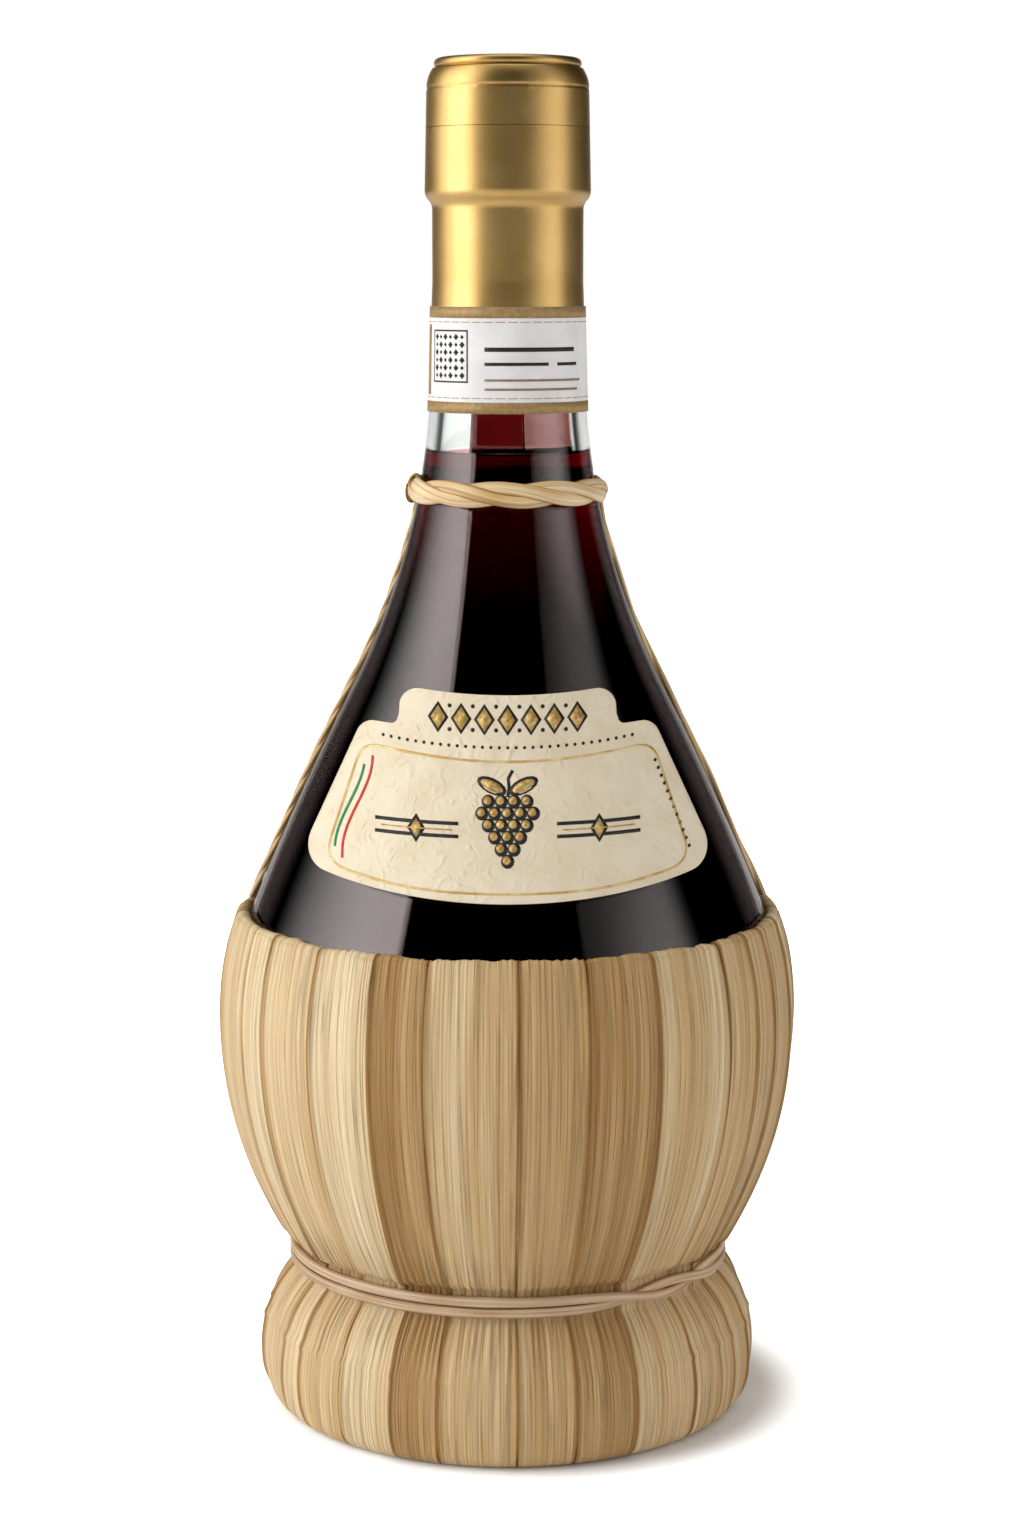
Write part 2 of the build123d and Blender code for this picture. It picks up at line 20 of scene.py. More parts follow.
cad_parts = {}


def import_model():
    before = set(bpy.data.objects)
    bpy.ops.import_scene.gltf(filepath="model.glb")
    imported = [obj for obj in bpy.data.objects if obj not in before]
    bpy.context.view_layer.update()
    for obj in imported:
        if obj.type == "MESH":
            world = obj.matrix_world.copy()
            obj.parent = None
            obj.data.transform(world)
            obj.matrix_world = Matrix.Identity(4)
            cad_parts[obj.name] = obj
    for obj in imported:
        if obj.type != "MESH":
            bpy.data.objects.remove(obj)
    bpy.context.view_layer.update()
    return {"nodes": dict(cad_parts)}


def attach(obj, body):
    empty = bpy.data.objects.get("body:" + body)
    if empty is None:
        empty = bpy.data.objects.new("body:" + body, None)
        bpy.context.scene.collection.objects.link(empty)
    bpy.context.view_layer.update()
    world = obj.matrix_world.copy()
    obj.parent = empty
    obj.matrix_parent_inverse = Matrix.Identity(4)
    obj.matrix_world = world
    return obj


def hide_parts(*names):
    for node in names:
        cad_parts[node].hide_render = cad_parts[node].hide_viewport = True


LOG = logging.getLogger("flask")
MM = 0.001
MERGE_MM = 0.0005
SAME_MM = 1e-6
UP = Vector((0.0, 0.0, 1.0))
WHITE = "#FFFFFF"

Point = tuple[float, float]
Adder = Callable[..., bpy.types.Node]
Placer = Callable[[float, float], tuple[Vector, Vector]]
Course = Callable[[float], tuple[Vector, Vector, Vector, float]]


class Body(Enum):
    """Bodies of the frame that pieces ride on."""

    BOTTLE = "bottle"
    CAPSULE = "capsule_top"


class Slot(Enum):
    """Material slots of the record."""

    GLASS = "flask_glass"
    WINE = "red_wine"
    FOIL = "capsule_foil"
    STRIP = "strip_paper"
    LABEL = "label_paper"
    RAFFIA = "twisted_raffia"
    REED = "reed_core"
    CORE = "straw_core"
    CANE = "cane_tie"
    BLADE = "rush_blade"


class Wall(Enum):
    """Side of a sheet that its thickness goes to."""

    INWARD = -1.0
    OUTWARD = 1.0


# Colour and nodes


def linear(code: str) -> tuple[float, float, float, float]:
    """Turns an sRGB hex colour into linear values.

    Args:
        code: The colour as six hex digits after a hash.

    Returns:
        Red, green, blue and an alpha of one.
    """
    parts = [int(code[at : at + 2], 16) / 255 for at in (1, 3, 5)]
    red, green, blue = (p / 12.92 if p <= 0.04045 else ((p + 0.055) / 1.055) ** 2.4 for p in parts)
    return red, green, blue, 1.0


def add_node(
    tree: bpy.types.NodeTree,
    kind: str,
    links: dict[str | int, object] | None = None,
    stops: Sequence[tuple[float, str]] = (),
    **settings: object,
) -> bpy.types.Node:
    """Adds a node with its settings and links.

    Args:
        tree: The tree that gets the node.
        kind: The node's type, without its common beginning.
        links: Input names or numbers, each with a value to set or a socket to link. A node stands for its
            first output.
        stops: Places and hex colours of a colour ramp.
        settings: Attributes of the node.

    Returns:
        The new node.
    """
    made = tree.nodes.new("ShaderNode" + kind)
    for name, value in settings.items():
        setattr(made, name, value)
    if stops:
        elements = made.color_ramp.elements
        while len(elements) < len(stops):
            elements.new(0.5)
        for element, (place, code) in zip(elements, stops):
            element.position = place
            element.color = linear(code)
    for name, source in (links or {}).items():
        if isinstance(source, bpy.types.Node):
            source = source.outputs[0]
        if isinstance(source, bpy.types.NodeSocket):
            tree.links.new(source, made.inputs[name])
        else:
            made.inputs[name].default_value = source
    return made


def in_millimetres(add: Adder, stretch: float = 1.0) -> bpy.types.Node:
    """Reads the piece's own coordinates in millimetres.

    Args:
        add: Adds a node to the material.
        stretch: How much longer a pattern is along Z than across.

    Returns:
        The node that gives them.
    """
    place = add("TexCoord")
    scale = (1 / MM, 1 / MM, 1 / MM / stretch)
    return add("Mapping", {"Vector": place.outputs["Object"], "Scale": scale})


# Finishes


@dataclass(frozen=True)
class Finish:
    """A finish, named for the real material."""

    name: str

    def surface(self, add: Adder) -> bpy.types.Node:
        """Adds the nodes of the surface and returns its shader."""
        raise NotImplementedError

    def filling(self, add: Adder) -> dict[str, bpy.types.Node]:
        """Adds what fills the piece: nothing, unless the finish says otherwise."""
        return {}

    def make(self) -> bpy.types.Material:
        """Makes the material.

        Returns:
            The material, with its nodes.
        """
        material = bpy.data.materials.new(self.name)
        material.use_nodes = True
        material.node_tree.nodes.clear()
        add = partial(add_node, material.node_tree)
        add("OutputMaterial", {"Surface": self.surface(add), **self.filling(add)})
        return material


@dataclass(frozen=True)
class FlaskGlass(Finish):
    """Clear soda-lime glass, blown and fire polished: smooth, with a bright reflection of the lamps."""

    name: str = "soda_lime_glass"
    tint: str = "#F4F8F4"
    ior: float = 1.52
    specular: float = 1.0

    def surface(self, add: Adder) -> bpy.types.Node:
        """Adds the clear shader.

        Args:
            add: Adds a node to the material.

        Returns:
            The surface's shader.
        """
        return add("BsdfPrincipled", {
            "Base Color": linear(self.tint), "Roughness": 0.0, "IOR": self.ior,
            "Transmission Weight": 1.0, "Specular IOR Level": self.specular,
        })


@dataclass(frozen=True)
class Wine(FlaskGlass):
    """Red wine: clear, with an absorption that leaves only dark red through a thin layer."""

    tint: str = WHITE
    ior: float = 1.34
    specular: float = 0.1
    depth_tint: str = "#F90004"
    density: float = 2900.0

    def filling(self, add: Adder) -> dict[str, bpy.types.Node]:
        """Adds the absorption."""
        absorption = {"Color": linear(self.depth_tint), "Density": self.density}
        return {"Volume": add("VolumeAbsorption", absorption)}


@dataclass(frozen=True)
class CapsuleFoil(Finish):
    """Tin-aluminium foil with a satin gold lacquer, shrunk on: soft wide reflections and fine wrinkles."""

    name: str = "lacquered_foil"
    gold: str = "#DDB66F"
    deep: str = "#D3AA62"
    clouds_per_mm: float = 0.12
    wrinkle_mm: float = 2.2
    wrinkle_depth_mm: float = 0.08
    grain_mm: float = 0.35
    grain_depth_mm: float = 0.03
    roughness: Point = (0.37, 0.41)

    def surface(self, add: Adder) -> bpy.types.Node:
        """Adds the metal, its wrinkles and grain, and the lacquer.

        Args:
            add: Adds a node to the material.

        Returns:
            The surface's shader.
        """
        place = in_millimetres(add)
        cloud = add("TexNoise", {"Vector": place, "Scale": self.clouds_per_mm, "Detail": 3.0})
        colour = add("ValToRGB", {"Fac": cloud}, ((0.35, self.deep), (0.65, self.gold)))
        wrinkle = add(
            "TexNoise", {"Vector": place, "Scale": 1 / self.wrinkle_mm, "Detail": 2.0, "Distortion": 1.2}
        )
        grain = add("TexNoise", {"Vector": place, "Scale": 1 / self.grain_mm, "Detail": 2.0})
        low = add("Bump", {"Height": wrinkle, "Strength": 0.16, "Distance": self.wrinkle_depth_mm * MM})
        fine = {"Height": grain, "Strength": 0.12, "Distance": self.grain_depth_mm * MM, "Normal": low}
        high = add("Bump", fine)
        rough = add(
            "MapRange", {"Value": cloud, "To Min": self.roughness[0], "To Max": self.roughness[1]}
        )
        return add("BsdfPrincipled", {
            "Base Color": colour, "Metallic": 1.0, "Roughness": rough, "Normal": high,
            "Coat Weight": 0.6, "Coat Roughness": 0.3,
        })


@dataclass(frozen=True)
class Paper(Finish):
    """Uncoated or felt-marked paper: matt, with a faint cloud and a fine tooth."""

    pale: str
    deep: str
    clouds_per_mm: float = 0.16
    vein_mm: float = 3.0
    vein_depth_mm: float = 0.4
    tooth_mm: float = 0.3
    tooth_depth_mm: float = 0.03
    relief: float = 0.35
    roughness: float = 0.62

    def surface(self, add: Adder) -> bpy.types.Node:
        """Adds the paper's cloud, felt marks and tooth.

        Args:
            add: Adds a node to the material.

        Returns:
            The surface's shader.
        """
        place = in_millimetres(add)
        vein = add(
            "TexNoise",
            {"Vector": place, "Scale": 1 / self.vein_mm, "Detail": 3.0, "Distortion": 2.4},
            noise_type="RIDGED_MULTIFRACTAL",
        )
        cloud = add("TexNoise", {"Vector": place, "Scale": self.clouds_per_mm, "Detail": 4.0})
        colour = add("ValToRGB", {"Fac": cloud}, ((0.3, self.deep), (0.62, self.pale)))
        tooth = add("TexNoise", {"Vector": place, "Scale": 1 / self.tooth_mm, "Detail": 2.0})
        low = add("Bump", {"Height": vein, "Strength": self.relief, "Distance": self.vein_depth_mm * MM})
        fine = {"Height": tooth, "Strength": 0.25, "Distance": self.tooth_depth_mm * MM, "Normal": low}
        high = add("Bump", fine)
        return add("BsdfPrincipled", {"Base Color": colour, "Roughness": self.roughness, "Normal": high})


@dataclass(frozen=True)
class Ink(Finish):
    """Printing ink or hot-stamped foil on paper: thin, with small flaws in its coverage."""

    deep: str
    pale: str
    metallic: float = 0.0
    roughness: float = 0.5
    flaw_mm: float = 0.8

    def surface(self, add: Adder) -> bpy.types.Node:
        """Adds the ink with its uneven coverage.

        Args:
            add: Adds a node to the material.

        Returns:
            The surface's shader.
        """
        place = in_millimetres(add)
        flaw = add("TexNoise", {"Vector": place, "Scale": 1 / self.flaw_mm, "Detail": 3.0})
        colour = add("ValToRGB", {"Fac": flaw}, ((0.4, self.deep), (0.7, self.pale)))
        return add(
            "BsdfPrincipled", {"Base Color": colour, "Metallic": self.metallic, "Roughness": self.roughness}
        )


@dataclass(frozen=True)
class PlantFibre(Finish):
    """A dried stem or leaf: fibres along its length, uneven in tone, with a waxy sheen.

    The pattern reads the piece's own grain attribute: millimetres across, through and along the strand. The
    real fibres are finer than the render shows, so they are drawn a little coarser.
    """

    pale: str
    middle: str
    deep: str
    fibre_mm: float = 0.28
    streak_mm: float = 1.6
    run_mm: float = 40.0
    vein_mm: float = 1.5
    vein_tone: float = 0.55
    blotches_per_mm: float = 0.09
    relief_mm: float = 0.16
    roughness: float = 0.55

    def surface(self, add: Adder) -> bpy.types.Node:
        """Adds the fibres, streaks, veins and blotches.

        Args:
            add: Adds a node to the material.

        Returns:
            The surface's shader.
        """
        grain = add("Attribute", attribute_name="grain").outputs["Vector"]
        shade = add("Attribute", attribute_name="shade").outputs["Fac"]
        fine, broad, ribbed = (
            add("Mapping", {"Vector": grain, "Scale": (1 / size, 1 / size, run_share / self.run_mm)})
            for size, run_share in ((self.fibre_mm, 1), (self.streak_mm, 0.6), (self.vein_mm, 0.35))
        )
        fibres = add("TexNoise", {"Vector": fine, "Scale": 1.0, "Detail": 3.0, "Roughness": 0.6})
        streaks = add("TexNoise", {"Vector": broad, "Scale": 1.0, "Detail": 4.0, "Roughness": 0.6})
        blotch = add("TexNoise", {"Vector": grain, "Scale": self.blotches_per_mm, "Detail": 2.0})
        cells = add(
            "TexVoronoi", {"Vector": ribbed, "Scale": 1.0, "Randomness": 0.9}, feature="DISTANCE_TO_EDGE"
        )
        ridge = add("MapRange", {"Value": cells, "From Min": 0.0, "From Max": 0.07})
        faded, fibre_tone, blotch_tone = (
            add("MapRange", {
                "Value": value, "From Min": low, "From Max": high, "To Min": dark, "To Max": light,
            })
            for value, low, high, dark, light in (
                (blotch, 0.35, 0.6, 0.15, 0.8),
                (fibres, 0.36, 0.64, 0.78, 1.1),
                (blotch, 0.3, 0.7, 0.93, 1.04),
            )
        )
        hollow = add("Math", {0: 1.0, 1: ridge}, operation="SUBTRACT")
        depth = add("Math", {0: hollow, 1: faded}, operation="MULTIPLY")
        vein_tone = add("MapRange", {"Value": depth, "To Min": 1.0, "To Max": self.vein_tone})
        tone = add("Math", {0: streaks, 1: shade}, operation="ADD")
        spread = add("MapRange", {"Value": tone, "From Min": 0.42, "From Max": 1.58})
        colour = add(
            "ValToRGB", {"Fac": spread}, ((0.0, self.deep), (0.5, self.middle), (1.0, self.pale))
        )
        even = add("Math", {0: fibre_tone, 1: blotch_tone}, operation="MULTIPLY")
        factor = add("Math", {0: even, 1: vein_tone}, operation="MULTIPLY")
        relief = add("Math", {0: fibres, 1: depth}, operation="SUBTRACT")
        tinted = add("VectorMath", {0: colour, "Scale": factor}, operation="SCALE")
        bump = add("Bump", {"Height": relief, "Strength": 0.9, "Distance": self.relief_mm * MM})
        return add("BsdfPrincipled", {
            "Base Color": tinted, "Roughness": self.roughness, "Normal": bump,
            "Specular IOR Level": 0.35, "Sheen Weight": 0.08, "Sheen Roughness": 0.4,
        })


@dataclass(frozen=True)
class NaturalCork(Finish):
    """Punched natural cork: fine cells, darker lenticels in short streaks, and matt."""

    name: str = "natural_cork"
    pale: str = "#D2A878"
    deep: str = "#8A5A34"
    cell_mm: float = 0.5
    pore_mm: float = 2.6
    pore_stretch: float = 2.0
    relief_mm: float = 0.2

    def surface(self, add: Adder) -> bpy.types.Node:
        """Adds the cells and the lenticels.

        Args:
            add: Adds a node to the material.

        Returns:
            The surface's shader.
        """
        place = in_millimetres(add, self.pore_stretch)
        cells = add("TexNoise", {"Vector": place, "Scale": 1 / self.cell_mm, "Detail": 2.0})
        pores = add("TexVoronoi", {"Vector": place, "Scale": 1 / self.pore_mm, "Randomness": 1.0})
        pit = add("MapRange", {"Value": pores, "From Min": 0.08, "From Max": 0.22})
        mixed = add("Math", {0: pit, 1: cells}, operation="MULTIPLY")
        colour = add("ValToRGB", {"Fac": mixed}, ((0.1, self.deep), (0.55, self.pale)))
        bump = add("Bump", {"Height": mixed, "Strength": 0.5, "Distance": self.relief_mm * MM})
        return add("BsdfPrincipled", {"Base Color": colour, "Roughness": 0.8, "Normal": bump})


@dataclass(frozen=True)
class PaintedBoard(Finish):
    """The floor: matt white board, which glows to the eye beyond the bottle's contact shadow.

    Attributes:
        grey: Its paint.
        speckles_per_m: Scale of the roller's marks.
        middle: Middle of the shadow, in metres.
        near: Distances between which the glow sets in, in metres, and its strength there.
        far: The same for the glow that is added further off.
    """

    name: str = "painted_board"
    grey: str = "#F6F6F6"
    speckles_per_m: float = 400.0
    middle: tuple[float, float, float] = (0.0045, 0.002, 0.0)
    near: tuple[float, float, float] = (0.0455, 0.0565, 0.66)
    far: tuple[float, float, float] = (0.12, 0.6, 0.7)

    def surface(self, add: Adder) -> bpy.types.Node:
        """Adds the board and its glow.

        Args:
            add: Adds a node to the material.

        Returns:
            The surface's shader.
        """
        path = add("LightPath")
        seen = add("Math", {0: path, 1: path.outputs["Is Transmission Ray"]}, operation="MAXIMUM")
        place = add("TexCoord").outputs["Object"]
        speckle = add("TexNoise", {"Vector": place, "Scale": self.speckles_per_m, "Detail": 2.0})
        bump = add("Bump", {"Height": speckle, "Strength": 0.05, "Distance": 0.1 * MM})
        board = add("BsdfDiffuse", {"Color": linear(self.grey), "Normal": bump})
        aside = add("VectorMath", {0: place, 1: self.middle}, operation="SUBTRACT")
        reach = add("VectorMath", {0: aside}, operation="LENGTH").outputs["Value"]
        near, far = (
            add("MapRange", {"Value": reach, "From Min": low, "From Max": high, "To Max": most},
                interpolation_type="SMOOTHSTEP")
            for low, high, most in (self.near, self.far)
        )
        lift = add("Math", {0: near, 1: far}, operation="ADD")
        strength = add("Math", {0: seen, 1: lift}, operation="MULTIPLY")
        glow = add("Emission", {"Color": linear(WHITE), "Strength": strength})
        return add("AddShader", {0: board, 1: glow})


# Profiles and meshes


def polar(centre: Point, radius: float, angle: float) -> Point:
    """Profile point at an angle in degrees about a centre."""
    turn = math.radians(angle)
    return centre[0] + radius * math.cos(turn), centre[1] + radius * math.sin(turn)


def arc(centre: Point, radius: float, start: float, end: float, steps: int) -> list[Point]:
    """Points along an arc of the profile plane, its two ends included."""
    return [polar(centre, radius, start + (end - start) * step / steps) for step in range(steps + 1)]


def between(start: Point, end: Point, share: float) -> Point:
    """Point of the profile plane at a share of the way from a start to an end."""
    return start[0] + (end[0] - start[0]) * share, start[1] + (end[1] - start[1]) * share


def run(start: Point, end: Point, steps: int) -> list[Point]:
    """Points along a straight stretch of the profile plane, its two ends included."""
    return [between(start, end, step / steps) for step in range(steps + 1)]


def rounding(start: Point, end: Point, steps: int) -> list[Point]:
    """Bends a stretch of the profile from straight up.

    Args:
        start: Where it leaves straight up.
        end: Where the arc ends.
        steps: Steps of the arc.

    Returns:
        The arc's points, its two ends included.
    """
    aside, rise = end[0] - start[0], end[1] - start[1]
    radius = (aside**2 + rise**2) / (2 * abs(aside))
    side = math.copysign(1.0, aside)
    centre = (start[0] + side * radius, start[1])
    first = 180.0 if side > 0 else 0.0
    last = math.degrees(math.atan2(end[1] - centre[1], end[0] - centre[0]))
    return arc(centre, radius, first, last, steps)


def swept_step(low: Point, high: Point, steps: int) -> list[Point]:
    """Bends the profile out of one upright line and into another.

    Args:
        low: Where it leaves the first line.
        high: Where it meets the second.
        steps: Steps of each half.

    Returns:
        The points of both halves, which mirror each other.
    """
    middle = ((low[0] + high[0]) / 2, (low[1] + high[1]) / 2)
    rise = rounding(low, middle, steps)
    return rise + [(2 * middle[0] - radius, 2 * middle[1] - height) for radius, height in reversed(rise)]


def joined(*parts: Sequence[Point]) -> list[Point]:
    """Joins stretches of a profile.

    Args:
        parts: The stretches in order.

    Returns:
        Their points, without those that repeat the one before.
    """
    points: list[Point] = []
    for part in parts:
        for point in part:
            if not points or math.dist(points[-1], point) > SAME_MM:
                points.append(point)
    return points


def around(radius: float, azimuth: float, height: float) -> Vector:
    """Point in millimetres at a radius, an azimuth in degrees and a height."""
    turn = math.radians(azimuth)
    return Vector((radius * math.sin(turn), -radius * math.cos(turn), height))


def smooth_step(value: float, low: float, high: float) -> float:
    """Rises smoothly from 0 at low to 1 at high, or falls if low is above high."""
    share = min(1.0, max(0.0, (value - low) / (high - low)))
    return share * share * (3 - 2 * share)


def dip(value: float, width: float) -> float:
    """Bell that is 1 at 0 and falls away over a width."""
    return math.exp(-((value / width) ** 2))


def wave(x: float, y: float, z: float) -> float:
    """Smooth noise at a place, from about -1 to 1."""
    return noise.noise(Vector((x, y, z)))


def spun(profile: Sequence[Point], steps: int, closed: bool) -> bmesh.types.BMesh:
    """Spins a profile about the upright axis.

    Args:
        profile: Radius and height of each point, in millimetres.
        steps: How many steps the full turn has.
        closed: Whether the last point joins the first.

    Returns:
        The bmesh, in millimetres, with its seam and poles merged and its faces outwards.
    """
    bm = bmesh.new()
    points = [bm.verts.new((0.0, -radius, height)) for radius, height in profile]
    pairs = list(zip(points, points[1:]))
    if closed:
        pairs.append((points[-1], points[0]))
    edges = [bm.edges.new(pair) for pair in pairs]
    bmesh.ops.spin(
        bm,
        geom=points + edges,
        cent=(0.0, 0.0, 0.0),
        axis=UP,
        angle=math.tau,
        steps=steps,
        use_merge=True,
    )
    bmesh.ops.remove_doubles(bm, verts=bm.verts[:], dist=MERGE_MM)
    bmesh.ops.recalc_face_normals(bm, faces=bm.faces[:])
    return bm


def laid_sheet(
    columns: int, rows: int, place: Placer, shade: float = 0.0, flip: bool = False, weld: bool = False
) -> bmesh.types.BMesh:
    """Lays a grid into its form.

    Args:
        columns: Cells across.
        rows: Cells along.
        place: Gives the place and the grain, in millimetres, for the shares across and along.
        shade: Tone of the piece, for its material.
        flip: Whether the faces are turned over.
        weld: Whether edges that meet are merged.

    Returns:
        The bmesh, in millimetres.
    """
    bm = bmesh.new()
    bmesh.ops.create_grid(bm, x_segments=columns, y_segments=rows, size=1.0)
    grain = bm.verts.layers.float_vector.new("grain")
    tone = bm.verts.layers.float.new("shade")
    for vert in bm.verts:
        vert.co, vert[grain] = place((vert.co.x + 1) / 2, (vert.co.y + 1) / 2)
        vert[tone] = shade
    if weld:
        bmesh.ops.remove_doubles(bm, verts=bm.verts[:], dist=MERGE_MM)
    if flip:
        bmesh.ops.reverse_faces(bm, faces=bm.faces[:])
    return bm


def merged(parts: Sequence[bmesh.types.BMesh]) -> bmesh.types.BMesh:
    """Joins meshes, with their grain and shade.

    Args:
        parts: The meshes, of which all but the first are freed.

    Returns:
        The first mesh, with the others in it.
    """
    whole = parts[0]
    for part in parts[1:]:
        mesh = bpy.data.meshes.new("part")
        part.to_mesh(mesh)
        whole.from_mesh(mesh)
        part.free()
        bpy.data.meshes.remove(mesh)
    return whole


@dataclass
class Made:
    """One visible piece: its mesh, finish, slot, body and the nodes that it stands for."""

    name: str
    bm: bmesh.types.BMesh
    material: bpy.types.Material
    slot: Slot
    body: Body = Body.BOTTLE
    replaces: Sequence[str] = ()
    sharp: float = 40.0

    def place(self, thickness: float = 0.0, side: Wall = Wall.INWARD) -> None:
        """Puts the piece into the scene.

        Args:
            thickness: Millimetres of wall that a Solidify gives, or 0 for none.
            side: Side of the sheet that the wall is on.
        """
        bmesh.ops.scale(self.bm, vec=(MM, MM, MM), verts=self.bm.verts[:])
        limit = math.radians(self.sharp)
        for edge in self.bm.edges:
            edge.smooth = not (edge.is_manifold and edge.calc_face_angle(0.0) > limit)
        for face in self.bm.faces:
            face.smooth = True
        mesh = bpy.data.meshes.new(self.name)
        self.bm.to_mesh(mesh)
        self.bm.free()
        mesh.materials.append(self.material)
        made = bpy.data.objects.new(self.name, mesh)
        bpy.context.scene.collection.objects.link(made)
        if thickness:
            wall = made.modifiers.new("wall", "SOLIDIFY")
            wall.thickness = thickness * MM
            wall.offset = side.value
        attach(made, self.body.value)
        if self.replaces:
            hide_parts(*self.replaces)
        LOG.info("%s: %d faces", self.name, len(mesh.polygons))


# Glass and wine


@dataclass
class FlaskForm:
    """The flask's side, from which glass, wine, label, straps and straw take their place."""

    belly_radius: float = 54.8
    belly_height: float = 77.5
    shoulder_radius: float = 47.0
    flank_radius: float = 600.0
    neck_curve: float = 138.0
    lower_radius: float = 81.0
    heel_turn: float = 22.0
    bottom_flat: float = 8.1
    bottom_height: float = 19.635
    bottom_radius: float = 44.006
    neck_low: Point = (14.75, 200.0)
    neck_high: Point = (14.05, 219.0)
    arc_steps: Sequence[int] = (44, 16, 36, 18, 30)
    neck_centre: Point = field(init=False)
    flank_centre: Point = field(init=False)
    flank_angles: Point = field(init=False)
    neck_angles: Point = field(init=False)

    def __post_init__(self) -> None:
        """Works out the centres of the side's arcs."""
        taper = math.degrees(
            math.atan2(self.neck_low[0] - self.neck_high[0], self.neck_high[1] - self.neck_low[1])
        )
        self.neck_centre = polar(self.neck_low, self.neck_curve, taper)
        shoulder = self.shoulder_centre
        first, second = self.neck_curve + self.flank_radius, self.flank_radius - self.shoulder_radius
        span = math.dist(self.neck_centre, shoulder)
        along = (first**2 - second**2 + span**2) / (2 * span)
        aside = math.sqrt(first**2 - along**2)
        unit = [(there - here) / span for here, there in zip(self.neck_centre, shoulder)]
        foot = (self.neck_centre[0] + along * unit[0], self.neck_centre[1] + along * unit[1])
        self.flank_centre = min(
            (foot[0] - side * aside * unit[1], foot[1] + side * aside * unit[0]) for side in (1, -1)
        )
        self.flank_angles = (self.heading(shoulder), self.heading(self.neck_centre))
        self.neck_angles = (180 + taper, 180 + self.flank_angles[1])

    def heading(self, end: Point) -> float:
        """Angle in degrees from the flank's centre to a point."""
        return math.degrees(math.atan2(end[1] - self.flank_centre[1], end[0] - self.flank_centre[0]))

    @property
    def shoulder_centre(self) -> Point:
        """Centre of the shoulder's arc."""
        return self.belly_radius - self.shoulder_radius, self.belly_height

    @property
    def lower_centre(self) -> Point:
        """Centre of the arc below the belly."""
        return self.belly_radius - self.lower_radius, self.belly_height

    @property
    def bottom_centre(self) -> Point:
        """Centre of the round bottom's arc."""
        return self.bottom_flat, self.bottom_height + self.bottom_radius

    def radius_at(self, height: float, lift: float = 0.0) -> float:
        """Radius of the glass above the belly.

        Args:
            height: Height in millimetres.
            lift: Distance off the glass.

        Returns:
            The radius in millimetres.
        """
        if height >= self.neck_low[1]:
            share = min(1.0, (height - self.neck_low[1]) / (self.neck_high[1] - self.neck_low[1]))
            return self.neck_low[0] + (self.neck_high[0] - self.neck_low[0]) * share + lift
        if height >= polar(self.flank_centre, self.flank_radius + lift, self.flank_angles[1])[1]:
            reach = self.neck_curve - lift
            return self.neck_centre[0] - math.sqrt(reach**2 - (height - self.neck_centre[1]) ** 2)
        if height >= polar(self.flank_centre, self.flank_radius + lift, self.flank_angles[0])[1]:
            reach = self.flank_radius + lift
            return self.flank_centre[0] + math.sqrt(reach**2 - (height - self.flank_centre[1]) ** 2)
        reach = self.shoulder_radius + lift
        return self.shoulder_centre[0] + math.sqrt(reach**2 - (height - self.belly_height) ** 2)

    def side(self, lift: float) -> list[Point]:
        """Draws the side from the foot of the neck to the middle of the bottom.

        Args:
            lift: Distance off the glass.

        Returns:
            The points of the profile.
        """
        flank, heel = self.flank_angles, -self.heel_turn
        neck, long, shoulder, lower, bottom = self.arc_steps
        return joined(
            arc(self.neck_centre, self.neck_curve - lift, *self.neck_angles, neck),
            arc(self.flank_centre, self.flank_radius + lift, *reversed(flank), long),
            arc(self.shoulder_centre, self.shoulder_radius + lift, flank[0], 0, shoulder),
            arc(self.lower_centre, self.lower_radius + lift, 0, heel, lower),
            arc(self.bottom_centre, self.bottom_radius + lift, heel, -90, bottom),
            [(0.0, self.bottom_height - lift)],
        )


